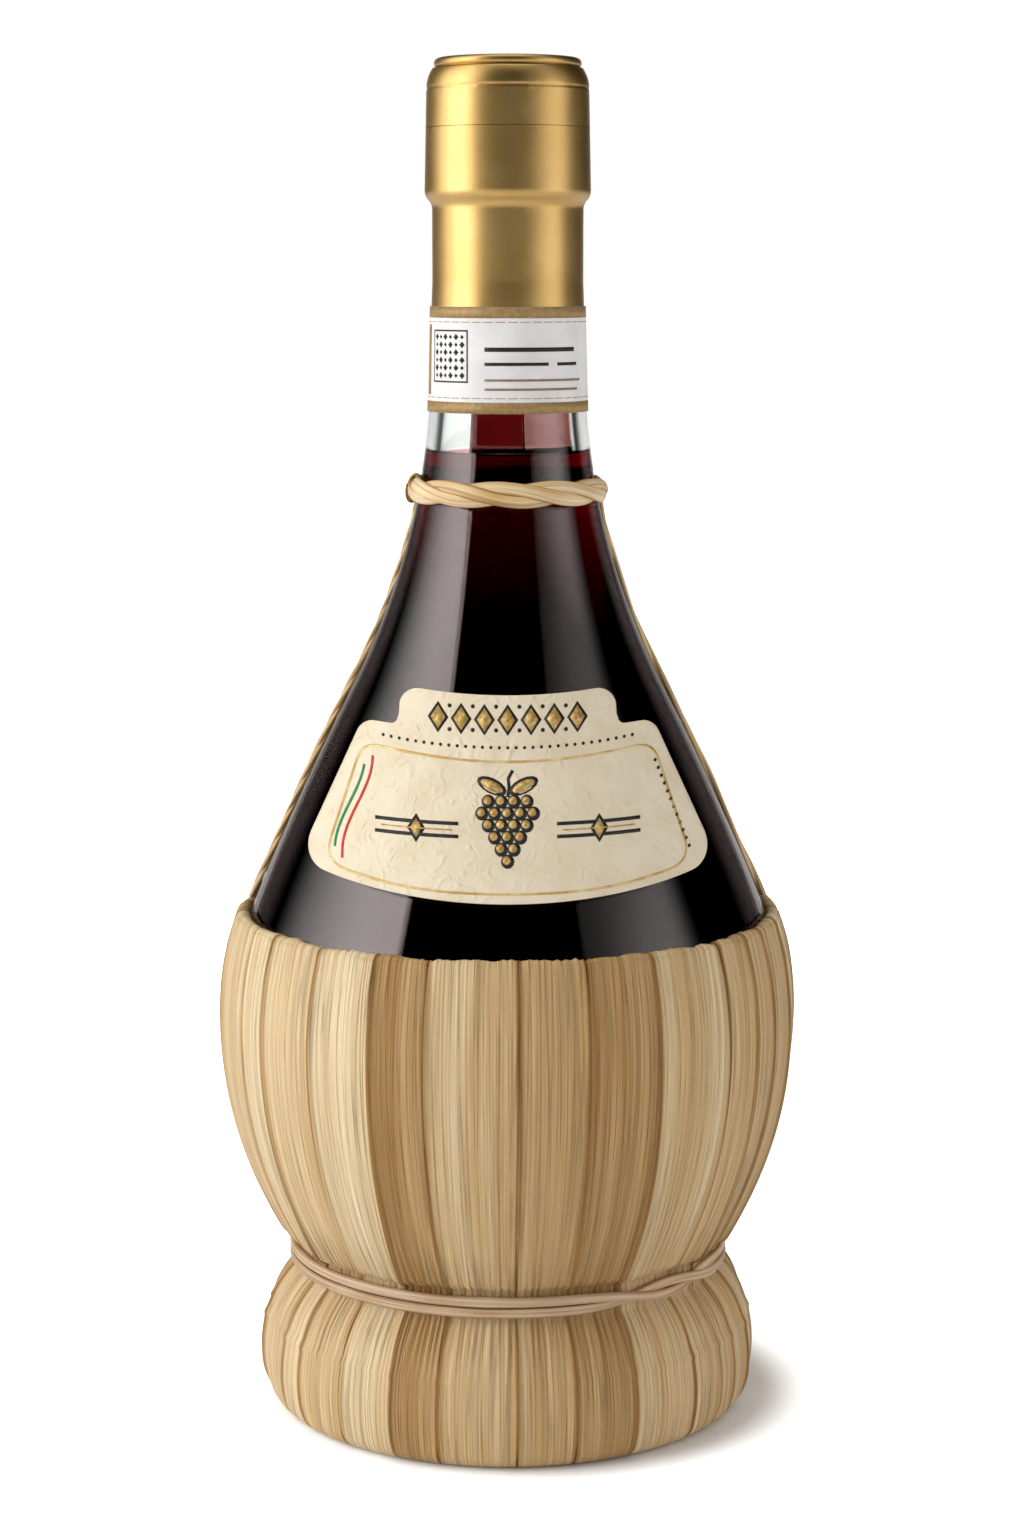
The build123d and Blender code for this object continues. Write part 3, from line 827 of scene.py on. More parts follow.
@dataclass
class Vessel:
    """The blown glass flask with its wine.

    Attributes:
        meniscus_shares: How far in from the glass the wine's edge reaches which share of its rise.
        film_lean: How much faster than the neck's outside the film's radius falls with height.
    """

    form: FlaskForm
    wall: float = 2.75
    bore_radius: float = 9.25
    bore_low: float = 214.0
    step_low: float = 232.5
    step_high: float = 236.0
    band_low_radius: float = 15.45
    band_top: Point = (15.05, 254.8)
    lip: Point = (13.5, 257.0)
    chamfer: float = 0.8
    wine_level: float = 186.4
    wine_overlap: float = 0.08
    meniscus: float = 0.7
    meniscus_shares: Sequence[Point] = ((0.0, 1.0), (0.25, 0.55), (0.6, 0.25), (1.2, 0.06), (2.2, 0.0))
    film_top: float = 212.0
    film: float = 0.3
    film_lean: float = 0.155
    turns: int = 192

    def glass(self, material: bpy.types.Material) -> None:
        """Builds the flask: one closed wall of revolution.

        Args:
            material: Its finish.
        """
        neck_radius = self.form.neck_high[0]
        band_low = (self.band_low_radius, self.step_high)
        bore_top = self.lip[1] - self.chamfer
        profile = joined(
            reversed(self.form.side(0.0)),
            run(self.form.neck_low, self.form.neck_high, 8),
            run(self.form.neck_high, (neck_radius, self.step_low), 6),
            swept_step((neck_radius, self.step_low), band_low, 6),
            run(band_low, self.band_top, 8),
            rounding(self.band_top, self.lip, 8),
            [(self.bore_radius + self.chamfer, self.lip[1])],
            run((self.bore_radius, bore_top), (self.bore_radius, self.bore_low), 16),
            self.form.side(-self.wall),
        )
        bm = spun(profile, self.turns, False)
        Made("flask_wall", bm, material, Slot.GLASS, replaces=("glass_flask",)).place()

    def wine(self, material: bpy.types.Material) -> None:
        """Builds the wine, which meets the glass and climbs it a little at its level.

        Args:
            material: Its finish.
        """
        lift = self.wine_overlap - self.wall
        side = [point for point in self.form.side(lift) if point[1] < self.wine_level]
        edge = self.form.radius_at(self.wine_level + self.meniscus, lift)
        top = [
            (edge - inset, self.wine_level + self.meniscus * share)
            for inset, share in self.meniscus_shares
        ]
        profile = joined(reversed(side), top, [(0.0, self.wine_level)])
        bm = spun(profile, self.turns, False)
        Made("wine_body", bm, material, Slot.WINE, replaces=("wine",)).place()

    def wetting(self, name: str, azimuths: Point, material: bpy.types.Material) -> None:
        """Builds a film that the wine leaves on the inside of the neck.

        Args:
            name: Name of the piece.
            azimuths: Its two sides.
            material: Its finish.
        """
        neck_height = self.form.neck_low[1]
        low = self.wine_level + self.meniscus
        rise = self.film_top - low

        def place(across: float, along: float) -> tuple[Vector, Vector]:
            """Place and grain of a point of the film.

            Args:
                across: Share of the way across.
                along: Share of the way along.

            Returns:
                Both, in millimetres.
            """
            azimuth, height = azimuths[0] + (azimuths[1] - azimuths[0]) * across, low + rise * along
            if height < neck_height:
                radius = self.form.radius_at(height, self.wine_overlap - self.wall)
            else:
                radius = self.form.radius_at(height) - self.wall + self.wine_overlap
                radius -= (height - neck_height) * self.film_lean
            return around(max(self.bore_radius, radius), azimuth, height), Vector((across, 0.0, along))

        sheet = laid_sheet(24, 16, place, flip=True)
        Made(name, sheet, material, Slot.WINE).place(self.film, Wall.OUTWARD)


# Capsule


@dataclass
class Capsule:
    """The foil capsule: a skirt on the neck, and above the tear line a cap with its pressed disc.

    Attributes:
        dent: Depth of the dents where the foil was shrunk on.
        dent_size: Their size round the capsule and up it.
        strained: Heights between which the dents grow deeper at the lip.
        step_middle: Height of the step, round which they are deeper as well.
        groove: Depth, height and width of the groove below the lip.
        pinch: Depth, height and width of the fine folds beside it.
    """

    low: Point = (14.63, 211.4)
    neck: Point = (14.35, 219.0)
    step_low: Point = (14.35, 232.5)
    step_high: Point = (15.75, 236.0)
    band_top: Point = (15.35, 254.8)
    shoulder: Point = (14.2, 258.6)
    tear_height: float = 247.6
    tear_gap: float = 0.1
    foil: float = 0.15
    flange: float = 5.0
    disc_radius: float = 13.9
    disc_top: float = 260.5
    disc_edge: float = 1.0
    disc_dish: float = 0.3
    disc_rim: float = 2.2
    disc_foil: float = 0.4
    dent: float = 0.035
    dent_size: Point = (3.4, 2.4)
    strained: Point = (252.5, 256.0)
    step_middle: float = 233.0
    groove: tuple[float, float, float] = (0.17, 254.9, 0.2)
    pinch: tuple[float, float, float] = (0.05, 254.6, 0.9)
    turns: int = 168

    def radius_at(self, height: float) -> float:
        """Outer radius of the band at a height."""
        share = (height - self.step_high[1]) / (self.band_top[1] - self.step_high[1])
        return self.step_high[0] + (self.band_top[0] - self.step_high[0]) * share

    def crumple(self, bm: bmesh.types.BMesh) -> bmesh.types.BMesh:
        """Moves the foil in and out where it was shrunk on: more at the lip and the step than between.

        Args:
            bm: The foil's mesh.

        Returns:
            The same mesh.
        """
        size, tall = self.dent_size
        for vert in bm.verts:
            x, y, height = vert.co
            radius = math.hypot(x, y)
            if radius < 1.0:
                continue
            strain = 0.25 + 0.9 * smooth_step(height, *self.strained)
            strain += 0.6 * smooth_step(abs(height - self.step_middle), 3.0, 0.0)
            dent = self.dent * strain * wave(x / size, y / size, height / tall)
            pinch = self.pinch[0] * wave(math.atan2(y, x) * 14, height * 0.7, 1.0)
            groove = -self.groove[0] * dip(height - self.groove[1], self.groove[2])
            groove += pinch * dip(height - self.pinch[1], self.pinch[2])
            scale = 1 + (dent + groove) / radius
            vert.co = Vector((x * scale, y * scale, height))
        return bm

    def skirt(self, material: bpy.types.Material) -> None:
        """Builds the skirt below the tear line.

        Args:
            material: Its finish.
        """
        top = self.tear_height - self.tear_gap / 2
        outer = joined(
            run(self.low, self.neck, 16),
            run(self.neck, self.step_low, 26),
            swept_step(self.step_low, self.step_high, 6),
            run(self.step_high, (self.radius_at(top), top), 26),
        )
        inner = [(radius - self.foil, height) for radius, height in reversed(outer)]
        bm = self.crumple(spun(joined(outer, inner), self.turns, True))
        Made("foil_skirt", bm, material, Slot.FOIL, replaces=("capsule_skirt",), sharp=60).place()

    def cap(self, material: bpy.types.Material) -> None:
        """Builds the cap above the tear line, folded in over the mouth.

        Args:
            material: Its finish.
        """
        low = self.tear_height + self.tear_gap / 2
        under = self.shoulder[1] - self.foil
        inside = (self.band_top[0] - self.foil, self.band_top[1])
        outer = joined(
            run((self.radius_at(low), low), self.band_top, 40),
            rounding(self.band_top, self.shoulder, 16),
            [(self.shoulder[0] - self.flange, self.shoulder[1])],
        )
        inner = joined(
            rounding(inside, (self.shoulder[0] - self.foil, under), 16),
            [(self.shoulder[0] - self.flange, under)],
        )
        lining = run((self.radius_at(low) - self.foil, low), inner[0], 40)
        profile = joined(outer, reversed(inner), reversed(lining))
        bm = self.crumple(spun(profile, self.turns, True))
        Made("foil_cap", bm, material, Slot.FOIL, Body.CAPSULE, ("capsule_cap",), 60).place()

    def disc(self, material: bpy.types.Material) -> None:
        """Builds the pressed disc with its rounded edge and sunk field.

        Args:
            material: Its finish.
        """
        low, edge = self.shoulder[1], self.disc_edge
        dish = self.disc_radius - self.disc_rim
        field_top = self.disc_top - self.disc_dish
        profile = joined(
            [(0.0, field_top)],
            run((dish * 0.5, field_top - 0.06), (dish - 0.5, field_top), 4),
            run((dish - 0.2, field_top + 0.08), (dish + 0.25, self.disc_top - 0.04), 3),
            arc((self.disc_radius - edge, self.disc_top - edge), edge, 90, -55, 14),
            [(self.disc_radius - 0.75, low), (dish, low), (dish, field_top - self.disc_foil)],
            [(0.0, field_top - self.disc_foil)],
        )
        bm = spun(profile, self.turns, False)
        Made("foil_disc", bm, material, Slot.FOIL, Body.CAPSULE, ("capsule_disc",), 60).place()


# Print on paper

INK_MM = 0.015


def printed(name: str, bm: bmesh.types.BMesh, ink: bpy.types.Material, slot: Slot) -> None:
    """Places a pressed drawing as a thin layer of ink."""
    Made(name, bm, ink, slot).place(INK_MM, Wall.OUTWARD)


def add_bar(bm: bmesh.types.BMesh, low: Point, high: Point, cells: int) -> None:
    """Adds a flat bar to a drawing whose X runs across and Z up.

    Args:
        bm: The drawing.
        low: The bar's lower left corner.
        high: Its upper right corner.
        cells: Cells that it is divided into across.
    """
    new = bmesh.ops.create_grid(bm, x_segments=cells, y_segments=1, size=0.5)["verts"]
    for vert in new:
        across = low[0] + (high[0] - low[0]) * (vert.co.x + 0.5)
        vert.co = Vector((across, 0.0, low[1] + (high[1] - low[1]) * (vert.co.y + 0.5)))


def add_disc(bm: bmesh.types.BMesh, middle: Point, half: Point, sides: int, turn: float = 0.0) -> None:
    """Adds a flat disc, lozenge or leaf to a drawing.

    Args:
        bm: The drawing.
        middle: Its middle, across and up.
        half: Half of its width and height before it is turned.
        sides: Its number of corners.
        turn: Its turn in degrees.
    """
    new = bmesh.ops.create_circle(bm, cap_ends=True, segments=sides, radius=1.0)["verts"]
    cos, sin = math.cos(math.radians(turn)), math.sin(math.radians(turn))
    for vert in new:
        across, up = vert.co.x * half[0], vert.co.y * half[1]
        vert.co = Vector((middle[0] + across * cos - up * sin, 0.0, middle[1] + across * sin + up * cos))


def fine_path(points: Sequence[Point], reach: float) -> list[Point]:
    """Adds points to a closed path.

    Args:
        points: The path's points.
        reach: Longest step that may stay.

    Returns:
        The points with those between them.
    """
    fine: list[Point] = []
    for start, end in zip(points, [*points[1:], points[0]]):
        fine += run(start, end, max(1, math.ceil(math.dist(start, end) / reach)))[:-1]
    return fine


def add_ribbon(bm: bmesh.types.BMesh, points: Sequence[Point], width: float, closed: bool = False) -> None:
    """Adds a flat line of even width to a drawing.

    Args:
        bm: The drawing.
        points: Points that the line follows.
        width: Its width.
        closed: Whether its end meets its start.
    """
    count = len(points)
    cells = count if closed else count - 1
    new = bmesh.ops.create_grid(bm, x_segments=cells, y_segments=1, size=0.5)["verts"]
    for vert in new:
        at = round((vert.co.x + 0.5) * cells)
        across, up = points[at % count]
        before = points[(at - 1) % count] if closed else points[max(0, at - 1)]
        after = points[(at + 1) % count] if closed else points[min(count - 1, at + 1)]
        span, shift = math.dist(before, after), vert.co.y * width
        aside, rise = (after[1] - before[1]) / span * shift, (after[0] - before[0]) / span * shift
        vert.co = Vector((across - aside, 0.0, up + rise))
    if closed:
        bmesh.ops.remove_doubles(bm, verts=new, dist=MERGE_MM)


@dataclass
class SealStrip:
    """The paper band that laps over the capsule's lower edge, with its printed borders and ornament.

    Attributes:
        middle_radius: Radius that the lengths of the borders are measured at.
        hairline: Gap to its border, half of its width, pitch of its dashes and the share that they fill.
        panel: Middle of the lattice panel, and its side, line, cells, margin and sizes of its lozenges.
    """

    low: Point = (15.25, 194.6)
    high: Point = (14.69, 214.4)
    paper: float = 0.12
    border: float = 2.1
    border_inset: float = 0.02
    ink_lift: float = 0.02
    turns: int = 160
    middle_radius: float = 14.95
    hairline: tuple[float, float, float, float] = (0.75, 0.07, 2.35, 0.8)
    panel: Point = (-12.7, 205.2)
    panel_side: float = 9.8
    panel_line: float = 0.3
    panel_margin: float = 1.2
    panel_cells: int = 6
    lozenges: Point = (0.42, 0.62)

    def radius_at(self, height: float) -> float:
        """Outer radius of the paper at a height."""
        share = (height - self.low[1]) / (self.high[1] - self.low[1])
        return self.low[0] + (self.high[0] - self.low[0]) * share + self.paper

    def press(self, bm: bmesh.types.BMesh) -> bmesh.types.BMesh:
        """Wraps a flat drawing of arc length and height round the strip.

        Args:
            bm: The drawing.

        Returns:
            The same mesh, with its faces outwards.
        """
        for vert in bm.verts:
            radius = self.radius_at(vert.co.z) + self.ink_lift
            vert.co = around(radius, math.degrees(vert.co.x / radius), vert.co.z)
        for face in bm.faces:
            face.normal_update()
            if face.normal.dot(face.calc_center_median()) < 0:
                face.normal_flip()
        return bm

    def band(self, material: bpy.types.Material) -> None:
        """Builds the paper band.

        Args:
            material: Its finish.
        """
        ends = [(self.radius_at(height), height) for height in (self.low[1], self.high[1])]
        outer = run(*ends, 20)
        inner = [(radius - self.paper, height) for radius, height in reversed(outer)]
        bm = spun(joined(outer, inner), self.turns, True)
        Made("paper_strip", bm, material, Slot.STRIP, replaces=("seal_strip",)).place()

    def borders(self, gold: bpy.types.Material, red: bpy.types.Material) -> None:
        """Builds the two gold borders and the dashed hairline inside each.

        Args:
            gold: Ink of the borders.
            red: Ink of the hairlines.
        """
        gold_bm, dash_bm = bmesh.new(), bmesh.new()
        half = math.tau * self.middle_radius / 2
        gap, line, pitch, filled = self.hairline
        low, high = self.low[1], self.high[1]
        add_bar(gold_bm, (-half, low + self.border_inset), (half, low + self.border), self.turns)
        add_bar(gold_bm, (-half, high - self.border), (half, high - self.border_inset), self.turns)
        for level in (low + self.border + gap, high - self.border - gap):
            start = -half
            while start < half - pitch:
                add_bar(dash_bm, (start, level - line), (start + pitch * filled, level + line), 4)
                start += pitch
        printed("strip_borders", self.press(gold_bm), gold, Slot.STRIP)
        printed("strip_hairlines", self.press(dash_bm), red, Slot.STRIP)

    def lattice(self, bm: bmesh.types.BMesh) -> None:
        """Draws the square panel of lozenges in its frame.

        Args:
            bm: The drawing that gets it.
        """
        half, inside = self.panel_side / 2, self.panel_side / 2 - self.panel_line
        for low, high in (
            ((-half, inside), (half, half)),
            ((-half, -half), (half, -inside)),
            ((-half, -half), (-inside, half)),
            ((inside, -half), (half, half)),
        ):
            corners = [(self.panel[0] + across, self.panel[1] + up) for across, up in (low, high)]
            add_bar(bm, *corners, 8)
        pitch = (self.panel_side - self.panel_margin) / self.panel_cells
        centred = [place - (self.panel_cells - 1) / 2 for place in range(self.panel_cells)]
        for row, up in enumerate(centred):
            for column, across in enumerate(centred):
                spot = (self.panel[0] + across * pitch, self.panel[1] + up * pitch)
                size = self.lozenges[(row + column) % 2]
                add_disc(bm, spot, (size, size), 4)

    def ornament(self, dark: bpy.types.Material, brown: bpy.types.Material, gold: bpy.types.Material) -> None:
        """Builds the printed panel: a bar, a square lattice of lozenges and ruled lines.

        Args:
            dark: Ink of the lattice and the upper lines.
            brown: Ink of the lower lines.
            gold: Ink of the bar.
        """
        dark_bm, brown_bm, gold_bm = bmesh.new(), bmesh.new(), bmesh.new()
        self.lattice(dark_bm)
        for bm, low, high, cells in (
            (gold_bm, (-21.4, 197.9), (-19.3, 211.0), 6),
            (dark_bm, (-4.4, 206.1), (14.6, 206.9), 16),
            (dark_bm, (-4.4, 203.5), (8.0, 204.1), 12),
            (dark_bm, (10.0, 203.5), (15.4, 204.1), 8),
            (brown_bm, (-4.4, 200.6), (16.6, 201.05), 16),
            (brown_bm, (-4.4, 198.9), (15.6, 199.35), 16),
        ):
            add_bar(bm, low, high, cells)
        printed("strip_print_dark", self.press(dark_bm), dark, Slot.STRIP)
        printed("strip_print_brown", self.press(brown_bm), brown, Slot.STRIP)
        printed("strip_print_bar", self.press(gold_bm), gold, Slot.STRIP)


def corner_shares(first: float, last: float, steps: int) -> list[Point]:
    """Shares of a corner's radius by which its arc lies in from the side and down from the top.

    Args:
        first: Angle in degrees that the arc starts at.
        last: Angle that it ends at.
        steps: Its steps.

    Returns:
        Both shares for each point.
    """
    turns = [math.radians(first + (last - first) * step / steps) for step in range(steps + 1)]
    return [(1 - math.cos(turn), 1 - math.sin(turn)) for turn in turns]


@dataclass
class FrontLabel:
    """The paper label on the flank, with its rules, stripes and ornament pressed onto its curve.

    Attributes:
        rule_corners: Corners of the gold rule, and how much each is cut.
        stripe: Start, reach across and reach down of the red stripe.
        ink_lift: Distance of the ink off the paper, and of the upper ink off the lower.
    """

    form: FlaskForm
    glue: float = 0.05
    paper: float = 0.2
    tab_top: float = 144.7
    tab_low: Point = (21.4, 137.7)
    tab_inset: float = 1.1
    tab_radius: float = 3.6
    tab_bow: float = 1.1
    notch_radius: float = 1.3
    shoulder: Point = (27.4, 137.7)
    shoulder_radius: float = 2.2
    corner: Point = (39.4, 111.8)
    corner_radius: float = 5.0
    bottom: float = 107.7
    ink_lift: Point = (0.02, 0.03)
    rule: float = 0.42
    rule_corners: Sequence[tuple[Point, float]] = (
        ((0.0, 131.5), 30.0), ((27.2, 133.8), 3.4), ((34.4, 112.4), 4.6), ((18.0, 109.7), 30.0),
        ((0.0, 109.3), 30.0), ((-18.0, 109.7), 30.0), ((-34.4, 112.4), 4.6), ((-27.2, 133.8), 3.4),
    )
    stripe_width: float = 0.48
    stripe: tuple[Point, float, float] = ((-25.2, 131.7), 5.5, 18.2)
    stripe_gap: float = 1.5

    def on_face(self, across: float, height: float, lift: float) -> Vector:
        """Point of the label's face behind a point of the front view."""
        radius = self.form.radius_at(height, self.glue + self.paper + lift)
        return Vector((across, -math.sqrt(radius**2 - across**2), height))

    def press(self, bm: bmesh.types.BMesh, lift: float) -> bmesh.types.BMesh:
        """Lays a flat drawing of the front view onto the label.

        Args:
            bm: The drawing.
            lift: Its distance off the paper.

        Returns:
            The same mesh, with its faces to the front.
        """
        for vert in bm.verts:
            vert.co = self.on_face(vert.co.x, vert.co.z, lift)
        for face in bm.faces:
            face.normal_update()
            if face.normal.y > 0:
                face.normal_flip()
        return bm

    def half_widths(self) -> list[tuple[float, float, float]]:
        """Draws the label's outline from its top.

        Returns:
            Rows of half width, height at the side and share of the bottom's bow.
        """
        side, slope = self.tab_low[0] - self.tab_inset, self.slope
        rows = []
        for inset, drop in corner_shares(90, 8, 12):
            inset, drop = self.tab_radius * inset, self.tab_radius * drop
            rows.append((side - 0.4 - inset + drop * 0.1, self.tab_top - drop, 0.0))
        rows.append((side, self.tab_low[1] + 1.7, 0.0))
        for inset, drop in corner_shares(0, 90, 4):
            inset, drop = self.notch_radius * inset, self.notch_radius * drop
            rows.append((side + 0.2 + inset, self.tab_low[1] + drop, 0.0))
        for inset, drop in corner_shares(90, 12, 8):
            inset, drop = self.shoulder_radius * inset, self.shoulder_radius * drop
            rows.append((self.shoulder[0] - inset + drop * slope, self.shoulder[1] - drop, 0.0))
        start, end = self.shoulder[1] - self.shoulder_radius - 0.2, self.corner[1] + self.corner_radius
        for step in range(13):
            height = start + (end - start) * step / 12
            rows.append((self.side_at(height), height, 0.0))
        for step in range(1, 15):
            turn = math.radians(90 * step / 14)
            height = end - self.corner_radius * math.sin(turn)
            inset = self.corner_radius * (1 - math.cos(turn))
            rows.append((self.side_at(height) - inset, height, math.sin(turn)))
        return rows

    @property
    def slope(self) -> float:
        """How much wider each half grows per millimetre down."""
        return (self.corner[0] - self.shoulder[0]) / (self.shoulder[1] - self.corner[1])

    def side_at(self, height: float) -> float:
        """Half width of the label's straight side at a height."""
        return self.shoulder[0] + (self.shoulder[1] - height) * self.slope

    def sheet(self, material: bpy.types.Material) -> None:
        """Builds the paper.

        Args:
            material: Its finish.
        """
        rows = self.half_widths()
        last = len(rows) - 1

        def place(across: float, along: float) -> tuple[Vector, Vector]:
            """Place and grain of a point of the label.

            Args:
                across: Share of the way across.
                along: Share of the way along.

            Returns:
                Both, in millimetres.
            """
            half, height, share = rows[min(last, round(along * last))]
            x = (2 * across - 1) * half
            low = (self.corner[1] - self.bottom) * share * (1 - (x / self.corner[0]) ** 2)
            rise = smooth_step(height, self.tab_low[1], self.tab_top)
            low += self.tab_bow * rise * (1 - (x / self.tab_low[0]) ** 2)
            return self.on_face(x, height - low, 0.0), Vector((x, 0.0, height))

        sheet = Made(
            "paper_label", laid_sheet(96, last, place, flip=True), material, Slot.LABEL,
            replaces=("front_label",),
        )
        sheet.place(self.paper)

    def rules(self, gold: bpy.types.Material) -> None:
        """Builds the stamped gold border inside the label's edge, with its corners rounded.

        Args:
            gold: Foil of the border.
        """
        corners, path = self.rule_corners, []
        for at, (corner, cut) in enumerate(corners):
            ends = []
            for other, _ in (corners[at - 1], corners[(at + 1) % len(corners)]):
                share = min(cut, math.dist(corner, other) / 2) / math.dist(corner, other)
                ends.append([c + (o - c) * share for c, o in zip(corner, other)])
            for step in range(9):
                t = step / 8
                parts = zip(ends[0], corner, ends[1])
                path.append(tuple(s * (1 - t) ** 2 + c * 2 * t * (1 - t) + e * t * t for s, c, e in parts))
        bm = bmesh.new()
        add_ribbon(bm, fine_path(joined(path), 1.2), self.rule, closed=True)
        printed("label_rules", self.press(bm, self.ink_lift[0]), gold, Slot.LABEL)

    def stripes(self, green: bpy.types.Material, red: bpy.types.Material) -> None:
        """Builds the green and the red stripe at the label's left.

        Args:
            green: Ink of the left stripe.
            red: Ink of the right one, which is the longer.
        """
        (left, top), reach, drop = self.stripe
        for name, ink, shift, cut in (
            ("label_stripe_green", green, -self.stripe_gap, 3),
            ("label_stripe_red", red, 0.0, 0),
        ):
            shares = [step / 32 for step in range(cut, 33 - cut)]
            bm = bmesh.new()
            points = [
                (left - reach * smooth_step(share, 0.02, 0.92) + shift, top - drop * share)
                for share in shares
            ]
            add_ribbon(bm, points, self.stripe_width)
            printed(name, self.press(bm, self.ink_lift[0]), ink, Slot.LABEL)

    def ornament(self, dark: bpy.types.Material, gold: bpy.types.Material) -> None:
        """Builds the generic ornament: lozenges on the tab, beads, rules and a bunch of grapes.

        Args:
            dark: Ink of the outlines and beads.
            gold: Ink inside the outlines.
        """
        dark_bm, gold_bm = bmesh.new(), bmesh.new()

        def inlaid(spot: Point, outer: Point, inner: Point, sides: int, turn: float = 0.0) -> None:
            """Draws a dark figure with a smaller golden one on it."""
            add_disc(dark_bm, spot, outer, sides, turn)
            add_disc(gold_bm, spot, inner, sides, turn)

        def beads(spots: Sequence[Point], size: float, sides: int) -> None:
            """Draws round dark beads."""
            for spot in spots:
                add_disc(dark_bm, spot, (size, size), sides)

        lozenge = 4.3
        for place in range(-3, 4):
            inlaid((place * lozenge, 139.3 + 0.25 * (place / 3) ** 2), (1.95, 2.75), (1.35, 2.05), 4)
        beads([((place + 0.5) * lozenge, up) for place in range(-3, 3) for up in (141.6, 137.5)], 0.38, 12)
        string = [place * 1.55 for place in range(-15, 16)]
        beads([(across, 135.6 - 1.1 * (1 - (across / 24) ** 2)) for across in string], 0.3, 10)
        beads([(27.6 + 6.3 * share, 130.6 - 15.6 * share) for share in (n / 11 for n in range(12))], 0.32, 10)
        level = 120.2
        for side in (-1, 1):
            reach = [side * (9.0 + 15.5 * step / 14) for step in range(15)]
            for shift in (1.1, -1.1):
                add_ribbon(dark_bm, [(across, level + shift) for across in reach], 0.62)
            add_ribbon(gold_bm, [(across, level) for across in reach[1:-1]], 0.22)
            inlaid((side * 16.8, level), (1.7, 2.5), (1.05, 1.7), 4)
            inlaid((side * 2.9, 127.9), (2.9, 1.35), (2.2, 0.85), 14, side * 24)
        for row, count in enumerate((4, 5, 4, 3, 2, 1)):
            for place in range(count):
                spot = ((place - (count - 1) / 2) * 2.35, 125.2 - row * 2.05)
                add_disc(dark_bm, spot, (1.22, 1.22), 18)
                add_disc(gold_bm, (spot[0] - 0.2, spot[1] + 0.2), (0.72, 0.72), 16)
        add_ribbon(dark_bm, [(0.0, 126.0), (0.25, 127.6), (0.1, 129.2), (0.9, 130.6)], 0.6)
        printed("label_print_dark", self.press(dark_bm, self.ink_lift[0]), dark, Slot.LABEL)
        printed("label_print_gold", self.press(gold_bm, sum(self.ink_lift)), gold, Slot.LABEL)


# Raffia and cane


@dataclass
class Strand:
    """A strand of oval section that follows a line.

    Attributes:
        line: Gives centre, across and through directions and the length along, for a share of the line.
        half_width: Half of the oval across.
        half_depth: Half of the oval through.
        sides: Cells round the strand.
        rows: Cells along the strand.
        ridge: Depth of the fibres' ridges.
        seed: Shifts the ridges, so that no two strands are alike.
        crease: Painted shade: how much darker the strand's narrow sides are made, where it lies on the next
            one.
        mottle: How much its tone changes along its length.
    """

    line: Course
    half_width: float
    half_depth: float
    sides: int = 20
    rows: int = 160
    ridge: float = 0.04
    seed: float = 0.0
    crease: float = 0.7
    mottle: float = 0.35

    def bm(self, shade: float, capped: bool = True) -> bmesh.types.BMesh:
        """Builds the strand's mesh.

        Args:
            shade: Its tone.
            capped: Whether its ends are closed.

        Returns:
            The bmesh, in millimetres, with its faces outwards.
        """
        shift = self.seed * 7

        def place(turn: float, along: float) -> tuple[Vector, Vector]:
            """Place and grain of a point of the strand.

            Args:
                turn: Share of the way round.
                along: Share of the way along.

            Returns:
                Both, in millimetres.
            """
            centre, across, through, length = self.line(along)
            cos, sin = math.cos(turn * math.tau), math.sin(turn * math.tau)
            x, y = self.half_width * cos, self.half_depth * sin
            ridge = self.ridge * wave(x * 2.2 + self.seed, y * 2.2, length * 0.05)
            ridge += self.ridge * 0.8 * wave(self.seed, length * 0.16, 3.0)
            spot = centre + across * (x + ridge * cos) + through * (y + ridge * sin)
            return spot, Vector((x + shift, y, length))

        made = laid_sheet(self.sides, self.rows, place, shade, weld=True)
        grain = made.verts.layers.float_vector["grain"]
        tone = made.verts.layers.float["shade"]
        for vert in made.verts:
            lay = vert[grain]
            wide = self.half_width > self.half_depth
            aside = abs(lay.x - shift) / self.half_width if wide else abs(lay.y) / self.half_depth
            # Painted shade where the strand lies on the next one: its narrow sides are darkened.
            vert[tone] -= self.crease * smooth_step(aside, 0.72, 1.0)
            vert[tone] += self.mottle * wave(lay.z * 0.12, self.seed * 3, 0.0)
        if capped:
            rims = [edge for edge in made.edges if edge.is_boundary]
            bmesh.ops.holes_fill(made, edges=rims, sides=0)
        bmesh.ops.recalc_face_normals(made, faces=made.faces[:])
        return made


@dataclass(frozen=True)
class Strap:
    """One carrying strap, of strands laid round each other.

    Attributes:
        side: Side of the bottle that it lies on.
        azimuths: Azimuth that it comes from and the one that it reaches halfway down.
        plies: Its strands.
        pitch: Length of a turn of them.
        half: Half of a strand's width.
    """

    side: str
    azimuths: Point
    plies: int
    pitch: float
    half: float


